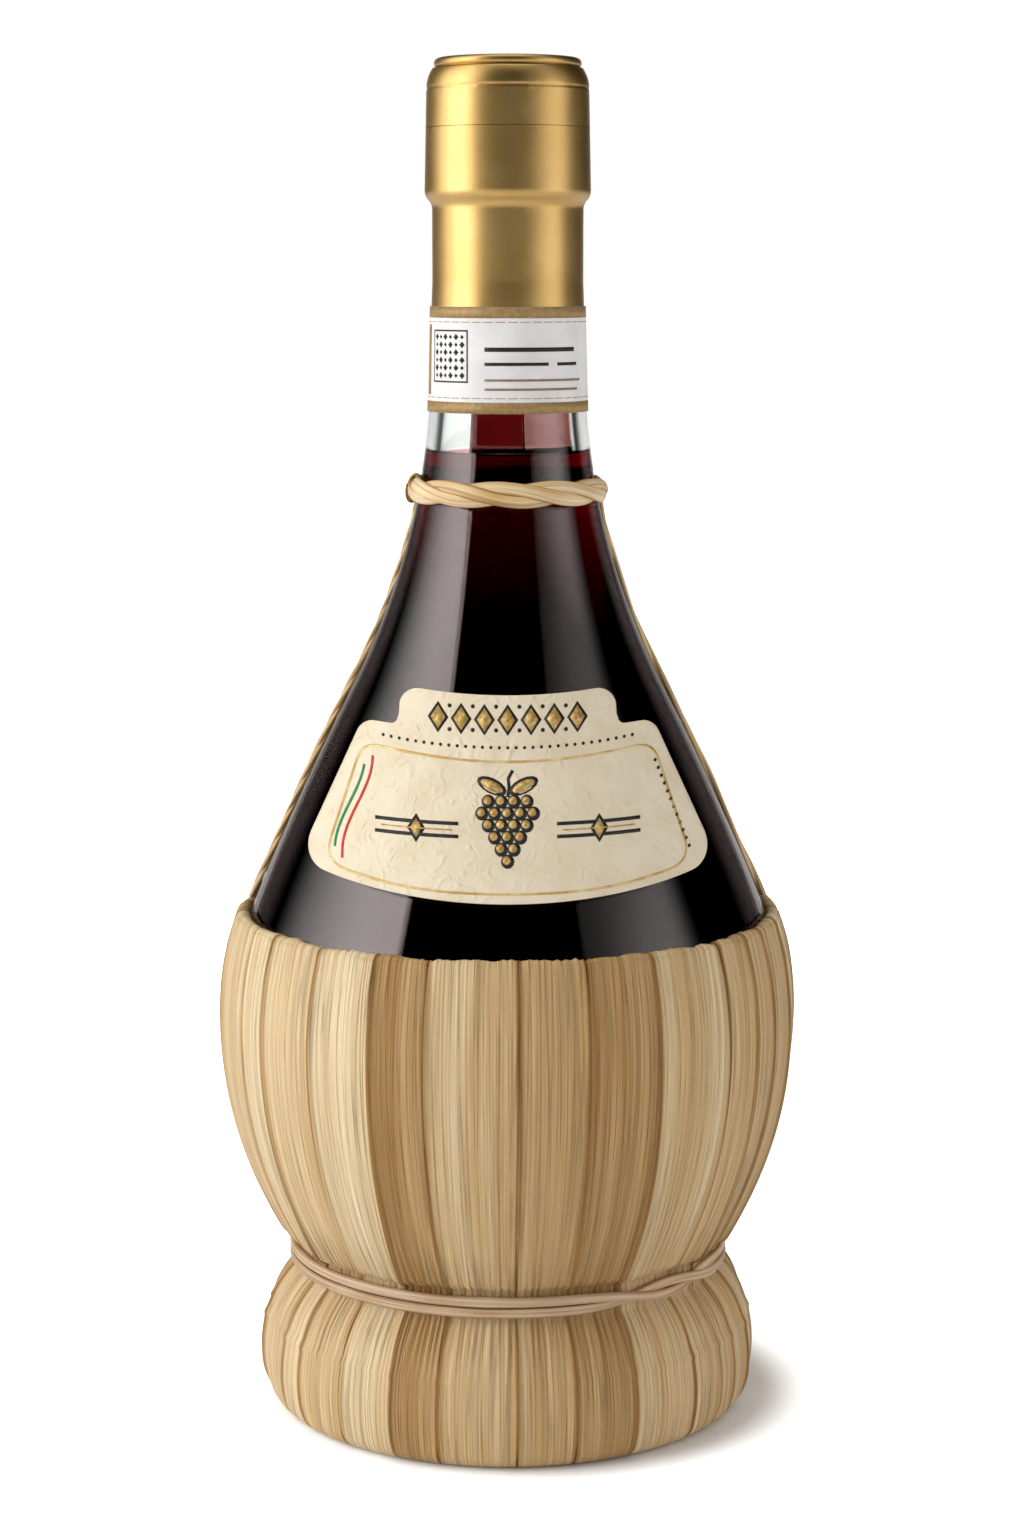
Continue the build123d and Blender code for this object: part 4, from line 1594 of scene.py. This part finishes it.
@dataclass
class Raffia:
    """The twisted collar below the strip and the two carrying straps that run down from it.

    Attributes:
        ply_half: Half of a ply's depth and width.
        ply_sway: How far the plies swing up and out as they lie round each other.
        ply_roll: How far they roll with it, in radians.
        wrap_azimuth: Where a strand is wrapped round the collar.
        wrap_reach: How far out and up the wrap lies from the collar's middle.
        wrap_step: Degrees that it moves along the collar in its turn.
        strap_sway: How far a strap's strands swing sideways and out.
        strap_slack: Their length as a share of the strap's height.
    """

    form: FlaskForm
    collar_height: float = 179.6
    collar_depth: float = 1.9
    gap: float = 0.15
    plies: int = 3
    bands: int = 10
    ply_half: Point = (0.6, 1.34)
    ply_sway: Point = (1.25, 0.5)
    ply_roll: float = 0.42
    wrap_azimuth: float = -97.0
    wrap_reach: Point = (1.15, 2.55)
    wrap_step: float = 7.0
    strap_top: float = 178.6
    strap_foot: float = 98.9
    strap_gap: float = 0.02
    strap_sway: Point = (0.62, 0.3)
    strap_slack: float = 1.08
    right: Strap = Strap("right", (110.0, 98.5), 2, 46.0, 0.6)
    left: Strap = Strap("left", (-116.0, -96.5), 3, 21.0, 0.56)

    def lean(self) -> tuple[float, float, Vector, Vector]:
        """Finds how the collar leans with the neck.

        Returns:
            Its middle radius and height, and its outward and upward directions in the profile plane.
        """
        fall = self.form.radius_at(self.collar_height - 1) - self.form.radius_at(self.collar_height + 1)
        slope = math.atan2(fall, 2)
        off = self.gap + self.collar_depth / 2
        out = Vector((math.cos(slope), 0, math.sin(slope)))
        up = Vector((-math.sin(slope), 0, math.cos(slope)))
        radius = self.form.radius_at(self.collar_height)
        return radius + off * out.x, self.collar_height + off * out.z, out, up

    def ply_line(self, ply: int) -> Course:
        """Gives the centre line of one of the collar's plies.

        Args:
            ply: The ply's number, from 0.

        Returns:
            The line, once round the neck.
        """
        radius, height, out, up = self.lean()

        def line(share: float) -> tuple[Vector, Vector, Vector, float]:
            """Centre, directions and length at a share of the ply.

            Args:
                share: Share of the line.

            Returns:
                Centre, across and through directions, and length along.
            """
            azimuth = share * 360 - 180
            phase = math.tau * (self.bands / self.plies * share + ply / self.plies) + 0.5
            radial = around(1.0, azimuth, 0.0)
            outward, upward = radial * out.x + UP * out.z, radial * up.x + UP * up.z
            wander = 0.18 * wave(share * 9, ply * 3.1, 0.4)
            rise, reach = self.ply_sway[0] * math.cos(phase) + wander, self.ply_sway[1] * math.sin(phase)
            centre = around(radius, azimuth, height)
            centre += upward * rise + outward * reach
            roll = self.ply_roll * math.cos(phase)
            across = upward * math.cos(roll) - outward * math.sin(roll)
            through = outward * math.cos(roll) + upward * math.sin(roll)
            return centre, through, across, share * math.tau * radius

        return line

    def wrap_line(self) -> Course:
        """Gives the centre line of the strand that is wrapped round the collar at its left.

        Returns:
            The line, a little more than once round the collar.
        """
        radius, height, out, up = self.lean()
        side = around(1.0, self.wrap_azimuth + 90, 0.0)

        def line(share: float) -> tuple[Vector, Vector, Vector, float]:
            """Centre, directions and length at a share of the wrap.

            Args:
                share: Share of the line.

            Returns:
                Centre, across and through directions, and length along.
            """
            angle = share * math.tau * 1.04
            azimuth = self.wrap_azimuth + self.wrap_step * share
            radial = around(1.0, azimuth, 0.0)
            outward, upward = radial * out.x + UP * out.z, radial * up.x + UP * up.z
            normal = outward * math.cos(angle) * 0.7 + upward * math.sin(angle) * 0.7
            reach, rise = self.wrap_reach[0] * math.cos(angle), self.wrap_reach[1] * math.sin(angle)
            centre = around(radius, azimuth, height)
            centre += outward * reach + upward * rise
            return centre, normal.normalized(), side, share * 14

        return line

    def collar(self, material: bpy.types.Material) -> None:
        """Builds the collar from three plies that lie round each other, and the wrap at its left.

        Args:
            material: Its finish.
        """
        parts = [
            Strand(self.ply_line(ply), *self.ply_half, 20, 260, 0.08, 1.7 + ply).bm(0.87 - 0.12 * ply)
            for ply in range(self.plies)
        ]
        parts.append(Strand(self.wrap_line(), 0.4, 1.25, 16, 80, 0.04, 6.3).bm(0.7))
        bm = merged(parts)
        Made("raffia_collar", bm, material, Slot.RAFFIA, replaces=("neck_collar",), sharp=75).place()

    def strap_line(self, strap: Strap, ply: int) -> Course:
        """Gives the centre line of one strand of a strap.

        Args:
            strap: The strap.
            ply: The strand's number, from 0.

        Returns:
            The line down the flank.
        """
        start, end = strap.azimuths
        span = self.strap_top - self.strap_foot

        def line(share: float) -> tuple[Vector, Vector, Vector, float]:
            """Centre, directions and length at a share of the strand.

            Args:
                share: Share of the line.

            Returns:
                Centre, across and through directions, and length along.
            """
            height = self.strap_top - span * share
            azimuth = start + (end - start) * smooth_step(share, -0.35, 0.62)
            loose = 0.3 * smooth_step(share, 0.85, 1.0) + 0.2 * smooth_step(height, 172.0, 178.0)
            lift = self.strap_gap + 0.8 * strap.half + 0.3 + loose
            fall = (self.form.radius_at(height - 1) - self.form.radius_at(height + 1)) / 2
            outward = (around(1.0, azimuth, 0.0) + UP * fall).normalized()
            sideways = around(1.0, azimuth + 90, 0.0)
            length = share * span * self.strap_slack
            phase = math.tau * (length / strap.pitch + ply / strap.plies)
            phase += 0.9 * wave(share * 5, strap.pitch, 0.0)
            aside, out = self.strap_sway[0] * math.cos(phase), self.strap_sway[1] * math.sin(phase)
            centre = around(self.form.radius_at(height, lift), azimuth, height)
            centre += sideways * aside + outward * out
            return centre, sideways, outward, length

        return line

    def strap(self, strap: Strap, material: bpy.types.Material) -> None:
        """Builds one strap.

        Args:
            strap: The strap.
            material: Its finish.
        """
        parts = []
        for ply in range(strap.plies):
            line, seed = self.strap_line(strap, ply), strap.pitch + 1.3 * ply
            strand = Strand(line, strap.half, strap.half * 0.8, 14, 300, 0.09, seed, crease=0.0)
            parts.append(strand.bm(0.75 - 0.15 * ply))
        name, node = f"raffia_strap_{strap.side}", f"strap_{strap.side}"
        Made(name, merged(parts), material, Slot.RAFFIA, replaces=(node,), sharp=75).place()


@dataclass
class WaistTie:
    """The cane that is wound twice round the waist and ends behind.

    Attributes:
        crossing: Azimuths between which its two turns change places.
        crossing_reach: How far apart they lie from the waist as they do.
        crossing_roll: How far each rolls, in radians.
    """

    radius: float = 42.53
    first_level: float = 29.35
    pitch: float = 2.1
    half_height: float = 0.98
    half_depth: float = 0.78
    crossing: Point = (12.0, 80.0)
    crossing_reach: float = 0.42
    crossing_roll: float = 0.3

    def level(self, turns: float) -> float:
        """Height of the tie's middle line: level in front, climbing behind.

        Args:
            turns: Turns from the tie's start.

        Returns:
            The height.
        """
        whole, share = divmod(turns, 1.0)
        climb = smooth_step(abs(share - 0.5), 0.25, 0.5) / 2
        return self.first_level + self.pitch * (whole + (climb if share > 0.5 else -climb))

    def line(self, turn: int) -> Course:
        """Gives the centre line of one of the two turns.

        Args:
            turn: The turn's number, from 0.

        Returns:
            The line, once round the waist.
        """
        side = 1 if turn else -1

        def line(share: float) -> tuple[Vector, Vector, Vector, float]:
            """Centre, directions and length at a share of the turn.

            Args:
                share: Share of the line.

            Returns:
                Centre, across and through directions, and length along.
            """
            azimuth = share * 360 - 180
            phase = math.tau * smooth_step(azimuth, *self.crossing)
            wander = 0.1 * wave(share * 6, turn * 5.0, 0.0)
            wander += side * self.pitch / 2 * (math.cos(phase) - 1)
            roll = self.crossing_roll * math.sin(phase)
            radial = around(1.0, azimuth, 0.0)
            through = UP * math.cos(roll) + radial * math.sin(roll)
            across = radial * math.cos(roll) - UP * math.sin(roll)
            reach = side * self.crossing_reach * math.sin(phase)
            centre = around(self.radius + reach, azimuth, self.level(turn + share) + wander)
            return centre, across, through, share * math.tau * self.radius

        return line

    def build(self, material: bpy.types.Material) -> None:
        """Builds the tie's two turns, which end behind, from two flat strands of cane.

        Args:
            material: Its finish.
        """
        parts = []
        for turn in (0, 1):
            line, seed = self.line(turn), 2.4 + 3 * turn
            strand = Strand(line, self.half_depth, self.half_height, 18, 420, 0.06, seed)
            parts.append(strand.bm(0.55 + 0.2 * turn))
        Made("cane_tie", merged(parts), material, Slot.CANE, replaces=("waist_tie",), sharp=75).place()


# Straw


@dataclass
class Basket:
    """The straw: blades that fold over the rim, are drawn in at the waist and turn under the foot.

    Attributes:
        flare_bow: How far the flare below the waist bows out and up.
        seams: Shares of the full turn at which the blades start.
        shades: Tone of each blade.
        edge: Width over which a blade's edges curl and are darkened with painted shade of the seams between
            blades.
        swells: Depth of a blade's broad and narrow waves.
        pleat: Depth of the pleats above and below the tie.
        pucker: Depth of the puckers near the rim.
        curl: How far the edges turn in.
        crease: Depth, height and width of the crease at the flare's foot.
        ring_inner: Inner radius of the ring in the foot.
        ring_outer: Its outer radius at its top.
        ring_side: Its outline from there to its underside.
    """

    form: FlaskForm
    lift: float = 1.0
    thickness: float = 0.55
    curve: float = 69.985
    fold_centre: Point = (51.672, 97.3)
    fold_radius: float = 1.1
    fold_tilt: float = 22.1
    fold_length: float = 4.4
    waist_radius: float = 41.6
    waist_top: float = 33.33
    waist_low: float = 27.48
    waist_shoulder: float = 1.3
    crease_height: float = 17.2
    flare_bow: Point = (0.72, 0.36)
    foot_centre: Point = (20.4, 10.3)
    foot_curve: float = 28.0
    foot_round: float = 4.5
    foot_flat: float = 4.2
    tuck_round: float = 4.0
    tuck_height: float = 12.0
    seam: float = 0.3
    columns: int = 34
    seams: Sequence[float] = (
        0.006, 0.043, 0.083, 0.132, 0.158, 0.180, 0.208, 0.247, 0.287, 0.329, 0.365, 0.409, 0.452,
        0.489, 0.530, 0.573, 0.611, 0.655, 0.694, 0.732, 0.769, 0.820, 0.847, 0.886, 0.925, 0.956,
    )
    shades: Sequence[float] = (
        0.52, 0.26, 0.7, 0.62, 0.6, 0.56, 0.8, 0.45, 0.6, 0.8, 0.35, 0.65, 0.5,
        0.75, 0.4, 0.6, 0.55, 0.85, 0.5, 0.4, 0.72, 0.9, 0.66, 0.9, 0.2, 0.58,
    )
    edge: float = 0.42
    swells: Point = (0.26, 0.11)
    pleat: float = 0.26
    pucker: float = 0.3
    curl: float = 0.5
    crease: tuple[float, float, float] = (0.3, 17.4, 0.7)
    ring_inner: float = 36.0
    ring_outer: float = 40.55
    ring_gap: float = 0.35
    ring_side: Sequence[Point] = (
        (47.0, 12.0), (46.9, 8.0), (45.6, 4.5), (43.0, 1.6), (39.2, 1.25), (36.6, 2.6),
    )

    def profile(self) -> list[Point]:
        """Draws the outer face of a blade.

        Returns:
            Its points, from the end of its fold over the rim and down to its tuck.
        """
        belly = self.form.belly_radius + self.lift
        lower = self.form.lower_radius + self.lift
        centre = (belly - self.curve, self.form.belly_height)
        fold_angle = math.degrees(
            math.atan2(self.fold_centre[1] - centre[1], self.fold_centre[0] - centre[0])
        )
        fold_end = 180 + self.fold_tilt
        inner = polar(self.fold_centre, self.fold_radius, fold_end)
        waist_drop = self.waist_top + self.waist_shoulder - self.form.belly_height
        waist_angle = math.degrees(math.asin(waist_drop / lower))
        crease_angle = math.degrees(
            math.asin((self.crease_height - self.foot_centre[1]) / self.foot_curve)
        )
        reach = self.foot_curve - self.foot_round
        round_angle = -math.degrees(math.asin((self.foot_centre[1] - self.foot_round) / reach))
        round_centre = polar(self.foot_centre, reach, round_angle)
        tuck = (round_centre[0] - self.foot_flat, self.tuck_round)
        tuck_side = tuck[0] - self.tuck_round
        crease = polar(self.foot_centre, self.foot_curve, crease_angle)
        gather = polar(self.form.lower_centre, lower, waist_angle)
        waist = [(self.waist_radius, self.waist_top), (self.waist_radius, self.waist_low)]
        flare = []
        for step in range(1, 15):
            radius, height = between(waist[1], crease, step / 14)
            bow = math.sin(step / 14 * math.pi)
            flare.append((radius + self.flare_bow[0] * bow, height + self.flare_bow[1] * bow))
        return joined(
            run(polar(inner, self.fold_length, self.fold_tilt - 90), inner, 4),
            arc(self.fold_centre, self.fold_radius, fold_end, fold_angle, 12),
            arc(centre, self.curve, fold_angle, 0, 26),
            arc(self.form.lower_centre, lower, 0, waist_angle, 36),
            run(gather, waist[0], 4),
            run(*waist, 5),
            flare,
            arc(self.foot_centre, self.foot_curve, crease_angle, round_angle, 18),
            arc(round_centre, self.foot_round, round_angle, -90, 8),
            run((round_centre[0], 0.0), (tuck[0], 0.0), 3),
            arc(tuck, self.tuck_round, 270, 180, 5),
            run((tuck_side, tuck[1]), (tuck_side, self.tuck_height), 3),
        )

    def blade(self, number: int, profile: Sequence[Point], material: bpy.types.Material) -> None:
        """Builds one blade.

        Args:
            number: The blade's number, from 1.
            profile: Its outer face.
            material: Its finish.
        """
        round_length = math.tau * (self.form.belly_radius + self.lift)
        margin = self.seam / 2 / round_length
        start = self.seams[number - 1] + margin
        end = (self.seams[number] if number < len(self.seams) else 1 + self.seams[0]) - margin
        width = (end - start) * math.tau * (self.form.belly_radius + self.lift)
        lengths = [0.0]
        for before, after in zip(profile, profile[1:]):
            lengths.append(lengths[-1] + math.dist(before, after))
        last = len(profile) - 1
        seed = number * 11.3
        pleats = 2 + round(width / 2.3)
        tilt = 0.5 if number % 2 else -0.35

        def relief(x: float, height: float, low_half: bool, top: float) -> float:
            """How far the blade stands off its profile, in millimetres.

            Args:
                x: Millimetres from the blade's side.
                height: Height of the place.
                low_half: Whether the place is on the lower half of the profile.
                top: How far it belongs to the rim, from 0 to 1.

            Returns:
                The distance, outwards.
            """
            across, edge = x / width, min(x, width - x)
            move = self.swells[0] * wave(x * 0.33 + seed, height * 0.03, 0.0)
            move += self.swells[1] * wave(x * 0.95 + seed, height * 0.02, 4.0)
            gather = smooth_step(height, 47.0, 34.0) * smooth_step(height, 27.0, 33.0)
            gather += smooth_step(height, 15.5, 25.0) * smooth_step(height, 29.5, 26.0)
            bend = 3.4 * wave(seed, across * 3.0, height * 0.05)
            move += self.pleat * gather * math.sin(across * pleats * math.tau + bend)
            pucker = wave(x * 1.1 + seed, 2.0 + height * 0.06, 7.0)
            move += self.pucker * pucker * smooth_step(height, 84.0, 97.0)
            move += tilt * (across - 0.5)
            move -= self.curl * dip(edge, self.edge) * (1 - 0.3 * top)
            return move - self.crease[0] * dip(height - self.crease[1], self.crease[2]) * low_half

        def place(across: float, along: float) -> tuple[Vector, Vector]:
            """Place and grain of a point of the blade.

            Args:
                across: Share of the way across.
                along: Share of the way along.

            Returns:
                Both, in millimetres.
            """
            row = min(last, round((1 - along) * last))
            radius, height = profile[row]
            before, after = profile[max(0, row - 1)], profile[min(last, row + 1)]
            span = math.dist(before, after)
            normal = (-(after[1] - before[1]) / span, (after[0] - before[0]) / span)
            outside, low_half = lengths[row] > self.fold_length, row > last // 2
            still = smooth_step(height, 0.8, 7.0) if low_half else 1.0
            top = smooth_step(height, 90.0, 98.0) if outside else 1.0
            x = across * width
            move = relief(x, height, low_half, top) * (still * (1.0 if outside else 0.45))
            if height < 3.0:
                move = min(move, 0.0)
            notch = 0.35 * dip(min(x, width - x), 0.8)
            rise = top * (0.32 * wave(x * 0.28 + seed, 9.0, 0.0) - notch)
            azimuth = (start + (end - start) * across) * 360
            spot = around(radius - normal[0] * move, azimuth, height - normal[1] * move + rise)
            spot.z = max(spot.z, 0.0)
            return spot, Vector((x + seed * 3, 0.0, lengths[row]))

        bm = laid_sheet(self.columns, last, place, self.shades[number - 1])
        tone = bm.verts.layers.float["shade"]
        grain = bm.verts.layers.float_vector["grain"]
        for vert in bm.verts:
            x = vert[grain].x - seed * 3
            edge = min(x, width - x)
            # Painted shade of the seams between blades: each edge is darkened, by an amount that changes
            # along it.
            seam_shade = 0.75 + 0.6 * wave(seed + (x > edge), vert.co.z * 0.03, 5.0)
            vert[tone] -= seam_shade * dip(edge, self.edge)
            vert[tone] += 0.35 * wave(x * 0.22 + seed, vert.co.z * 0.006, 2.0)
        name, node = f"straw_blade_{number:02d}", f"blade_{number:02d}"
        Made(name, bm, material, Slot.BLADE, replaces=(node,), sharp=80).place(self.thickness)

    def blades(self, material: bpy.types.Material) -> None:
        """Builds all blades.

        Args:
            material: Its finish.
        """
        profile = self.profile()
        for number in range(1, len(self.seams) + 1):
            self.blade(number, profile, material)

    def ring(self, material: bpy.types.Material) -> None:
        """Builds the straw ring inside the foot, which the round bottom sits in.

        Args:
            material: Its finish.
        """
        seat_centre, seat = self.form.bottom_centre, self.form.bottom_radius + self.ring_gap
        first, last = (
            -math.degrees(math.acos((radius - seat_centre[0]) / seat))
            for radius in (self.ring_inner, self.ring_outer)
        )
        profile = joined(
            arc(seat_centre, seat, first, last, 6),
            run((self.ring_outer, 29.0), (self.ring_outer + 0.2, 27.2), 3),
            run((42.2, 23.5), (45.7, 17.0), 6),
            self.ring_side,
            run((self.ring_inner, 5.0), (self.ring_inner, 26.0), 10),
        )
        bm = spun(profile, 144, True)
        grain = bm.verts.layers.float_vector.new("grain")
        shade = bm.verts.layers.float.new("shade")
        for vert in bm.verts:
            x, y, height = vert.co
            radius, turn = math.hypot(x, y), math.atan2(y, x)
            vert[grain] = Vector((radius * 1.2, height * 1.2, turn * radius))
            vert[shade] = 0.4
            strand = 0.16 * wave(radius * 0.8, height * 0.8, turn * 2)
            scale = 1 - abs(strand) / radius
            vert.co = Vector((x * scale, y * scale, height))
        Made("straw_ring", bm, material, Slot.CORE, replaces=("foot_ring",), sharp=75).place()

    def hoop(self, material: bpy.types.Material) -> None:
        """Builds the reed hoop inside the fold.

        Args:
            material: Its finish.
        """

        def line(share: float) -> tuple[Vector, Vector, Vector, float]:
            """Centre, directions and length at a share of the hoop."""
            centre = around(self.fold_centre[0], share * 360, self.fold_centre[1])
            return centre, UP, around(1.0, share * 360, 0), share * 325

        bm = Strand(line, 0.33, 0.33, 10, 180, 0.01, 8.8).bm(0.4, False)
        Made("reed_hoop", bm, material, Slot.REED, replaces=("rim_hoop",), sharp=75).place()


# Stage


@dataclass
class Softbox:
    """A tall lamp aimed at the bottle, with a face that fades towards its sides.

    Attributes:
        name: The lamp's name.
        azimuth: Its azimuth.
        distance: Its distance, in metres as the other sizes.
        width: Width of its face.
        height: Height of its face.
        middle: Height of its middle above the floor.
        level: Brightness of its face.
        fades: Shares of its width over which its left and its right side fade.
        rests: Brightness of its left and its right edge as shares of its middle's.
        top: Brightness of its upper end as a share of its lower end's.
        rise: Shares of its height between which it changes to that.
        tone: Its colour.
        mirrored: Its colour in reflections, which its cloth makes cooler.
    """

    name: str
    azimuth: float
    distance: float
    width: float
    height: float
    middle: float
    level: float
    fades: Point = (0.1, 0.1)
    rests: Point = (0.0, 0.0)
    top: float = 1.0
    rise: Point = (0.3, 0.8)
    tone: str = WHITE
    mirrored: str = "#E6EFFF"

    def face(self, add: Adder) -> None:
        """Adds the nodes of the lamp's face.

        Args:
            add: Adds a node to the lamp.
        """
        spot = add("NewGeometry").outputs["Parametric"]
        parts = add("SeparateXYZ", {0: spot})
        left, right = (
            add("MapRange", {"Value": parts, "From Min": start, "From Max": end, "To Min": rest},
                interpolation_type="SMOOTHSTEP")
            for start, end, rest in (
                (0.0, self.fades[0], self.rests[0]),
                (1.0, 1.0 - self.fades[1], self.rests[1]),
            )
        )
        across = add("Math", {0: left, 1: right}, operation="MULTIPLY")
        upward = add("MapRange", {
            "Value": parts.outputs["Y"], "From Min": self.rise[0], "From Max": self.rise[1],
            "To Min": 1.0, "To Max": self.top,
        })
        power = add("Math", {0: across, 1: upward}, operation="MULTIPLY")
        glossy = add("LightPath").outputs["Is Glossy Ray"]
        tone = add("Mix", {0: glossy, 6: linear(self.tone), 7: linear(self.mirrored)}, data_type="RGBA")
        add("OutputLight", {"Surface": add("Emission", {"Color": tone.outputs[2], "Strength": power})})

    def place(self) -> None:
        """Puts the lamp into the scene."""
        lamp = bpy.data.lights.new(self.name, "AREA")
        lamp.shape = "RECTANGLE"
        lamp.size, lamp.size_y = self.width, self.height
        lamp.energy = 4 * self.width * self.height * self.level
        lamp.use_nodes = True
        lamp.node_tree.nodes.clear()
        self.face(partial(add_node, lamp.node_tree))
        made = bpy.data.objects.new(self.name, lamp)
        made.location = around(self.distance, self.azimuth, self.middle)
        made.rotation_euler = Euler((math.radians(90), 0.0, math.radians(self.azimuth)), "XYZ")
        made.visible_camera = False
        bpy.context.scene.collection.objects.link(made)


@dataclass
class Studio:
    """Floor, world, lamps and camera, in metres.

    Attributes:
        ambient: Level of the world as light.
        mirrored: Its level in reflections of what is behind the bottle, and where that sets in.
        behind: Its level through glass there, and where that sets in.
        zenith: Its level in reflections from above, and where that sets in.
    """

    floor_radius: float = 3.0
    ambient: float = 0.45
    mirrored: tuple[float, float, float] = (0.86, 0.97, 0.4)
    behind: tuple[float, float, float] = (0.67, 0.92, 0.9)
    zenith: tuple[float, float, float] = (0.82, 0.96, 1.1)
    lens: float = 73.78
    clip: Point = (0.01, 50.0)
    camera_place: tuple[float, float, float] = (0.0007, -0.6058, 0.2202)
    camera_tilt: float = 81.1
    lamps: Sequence[Softbox] = (
        Softbox("lamp_left", -88.0, 1.1, 1.7, 2.2, 1.12, 2.6, (0.75, 0.04), top=0.65),
        Softbox("lamp_right", 66.0, 1.25, 1.44, 2.0, 1.02, 1.25, (0.62, 0.3), (0.25, 0.0), 0.38, (0.18, 0.4)),
    )

    def floor(self) -> None:
        """Builds the pale round floor, which keeps the bottle's shadow."""
        bm = bmesh.new()
        bmesh.ops.create_circle(bm, cap_ends=True, segments=96, radius=self.floor_radius)
        mesh = bpy.data.meshes.new("floor")
        bm.to_mesh(mesh)
        bm.free()
        mesh.materials.append(PaintedBoard().make())
        made = bpy.data.objects.new("floor", mesh)
        bpy.context.scene.collection.objects.link(made)

    def world(self) -> None:
        """Sets the world: white to the eye, white behind the bottle in reflections, dark before it."""
        world = bpy.data.worlds.new("studio")
        bpy.context.scene.world = world
        world.use_nodes = True
        world.node_tree.nodes.clear()
        add = partial(add_node, world.node_tree)
        path = add("LightPath")
        parts = add("SeparateXYZ", {0: add("TexCoord")})
        mirrored, behind, above = (
            add("MapRange", {"Value": parts.outputs[axis], "From Min": low, "From Max": high, "To Max": most},
                interpolation_type="SMOOTHSTEP")
            for axis, (low, high, most) in (("Y", self.mirrored), ("Y", self.behind), ("Z", self.zenith))
        )
        level = self.ambient
        shining = add("Math", {0: mirrored, 1: above}, operation="ADD")
        for ray, seen in (
            ("Is Glossy Ray", shining), ("Is Transmission Ray", behind), ("Is Camera Ray", 1.0)
        ):
            level = add("Mix", {0: path.outputs[ray], 2: level, 3: seen}, data_type="FLOAT")
        sky = add("Background", {"Color": linear(WHITE), "Strength": level})
        add("OutputWorld", {"Surface": sky})

    def camera(self) -> None:
        """Puts the camera at the photograph's place."""
        data = bpy.data.cameras.new("camera")
        data.sensor_width = 36.0
        data.lens = self.lens
        data.clip_start, data.clip_end = self.clip
        made = bpy.data.objects.new("camera", data)
        made.location = self.camera_place
        made.rotation_euler = Euler((math.radians(self.camera_tilt), 0.0, 0.0), "XYZ")
        bpy.context.scene.collection.objects.link(made)
        bpy.context.scene.camera = made

    def build(self) -> None:
        """Builds the stage."""
        self.floor()
        self.world()
        for lamp in self.lamps:
            lamp.place()
        self.camera()


def dress_vessel(form: FlaskForm) -> None:
    """Builds the glass, the wine and the wine's films in the neck.

    Args:
        form: The flask's form.
    """
    vessel = Vessel(form)
    vessel.glass(FlaskGlass().make())
    vessel.wine(Wine("red_wine").make())
    for name, azimuths, tint, density in (
        ("wine_film_dark", (-31.0, 13.0), "#CE2400", 18000.0),
        ("wine_film_pale", (13.0, 58.0), "#C25A4C", 6500.0),
    ):
        vessel.wetting(name, azimuths, Wine(name, depth_tint=tint, density=density).make())


def dress_capsule() -> None:
    """Builds the capsule."""
    foil, capsule = CapsuleFoil().make(), Capsule()
    capsule.skirt(foil)
    capsule.cap(foil)
    capsule.disc(foil)


def dress_paper(form: FlaskForm) -> None:
    """Builds the strip and the label with their print.

    Args:
        form: The flask's form.
    """
    gold_ink = Ink("hot_stamped_gold", "#B98E45", "#EBCB84", 0.35, 0.4).make()
    border_ink = Ink("bronze_ink", "#A5854F", "#B8986A", 0.25, 0.5).make()
    dark_ink = Ink("black_ink", "#15120E", "#2B251C").make()
    brown_ink = Ink("brown_ink", "#8B735B", "#A08A70").make()
    red_ink = Ink("red_ink", "#C81F1A", "#D8352A").make()
    rust_ink = Ink("rust_ink", "#B4704F", "#C79B72").make()
    green_ink = Ink("green_ink", "#1B8048", "#2C9A5B").make()

    strip = SealStrip()
    strip.band(Paper("security_paper", "#F1EFEE", "#E4E1DF", relief=0.2).make())
    strip.borders(border_ink, rust_ink)
    strip.ornament(dark_ink, brown_ink, border_ink)

    label = FrontLabel(form)
    label.sheet(Paper("felt_marked_paper", "#EFE0C4", "#E6D5B4", vein_mm=4.5, relief=1.0).make())
    label.rules(Ink("stamped_gold_foil", "#D3A95A", "#F7E0A4", 0.3, 0.4, 4.0).make())
    label.stripes(green_ink, red_ink)
    label.ornament(dark_ink, gold_ink)


def dress_straw(form: FlaskForm) -> None:
    """Builds the collar, the straps, the basket and its tie.

    Args:
        form: The flask's form.
    """
    raffia = Raffia(form)
    fibre = PlantFibre("twisted_raffia", "#FFE6BC", "#E2BA7E", "#A67636", vein_tone=0.62, roughness=0.4)
    twisted = fibre.make()
    raffia.collar(twisted)
    raffia.strap(raffia.right, twisted)
    raffia.strap(raffia.left, twisted)

    basket = Basket(form)
    basket.blades(PlantFibre("rush_blade", "#F0D9AE", "#D3AE78", "#A77B41", fibre_mm=0.36).make())
    basket.ring(PlantFibre("bundled_straw", "#DCC08C", "#B8925A", "#7C5A30", fibre_mm=0.9).make())
    basket.hoop(PlantFibre("split_reed", "#D9BE8C", "#BC9860", "#8C6A3C").make())
    cane = PlantFibre("split_cane", "#E3CAAC", "#D0AE88", "#9C7448", fibre_mm=0.3, vein_tone=0.66)
    WaistTie().build(cane.make())


def main() -> None:
    """Builds the bottle's pieces round the frame and the stage about them."""
    logging.basicConfig(level=logging.INFO, format="%(name)s: %(message)s")
    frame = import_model()
    bpy.context.scene.view_settings.view_transform = "Standard"

    form = FlaskForm()
    dress_vessel(form)
    dress_capsule()
    dress_paper(form)
    dress_straw(form)

    cork = frame["nodes"]["cork_stopper"]
    cork.data.materials.clear()
    cork.data.materials.append(NaturalCork().make())

    Studio().build()


if __name__ == "__main__":
    main()
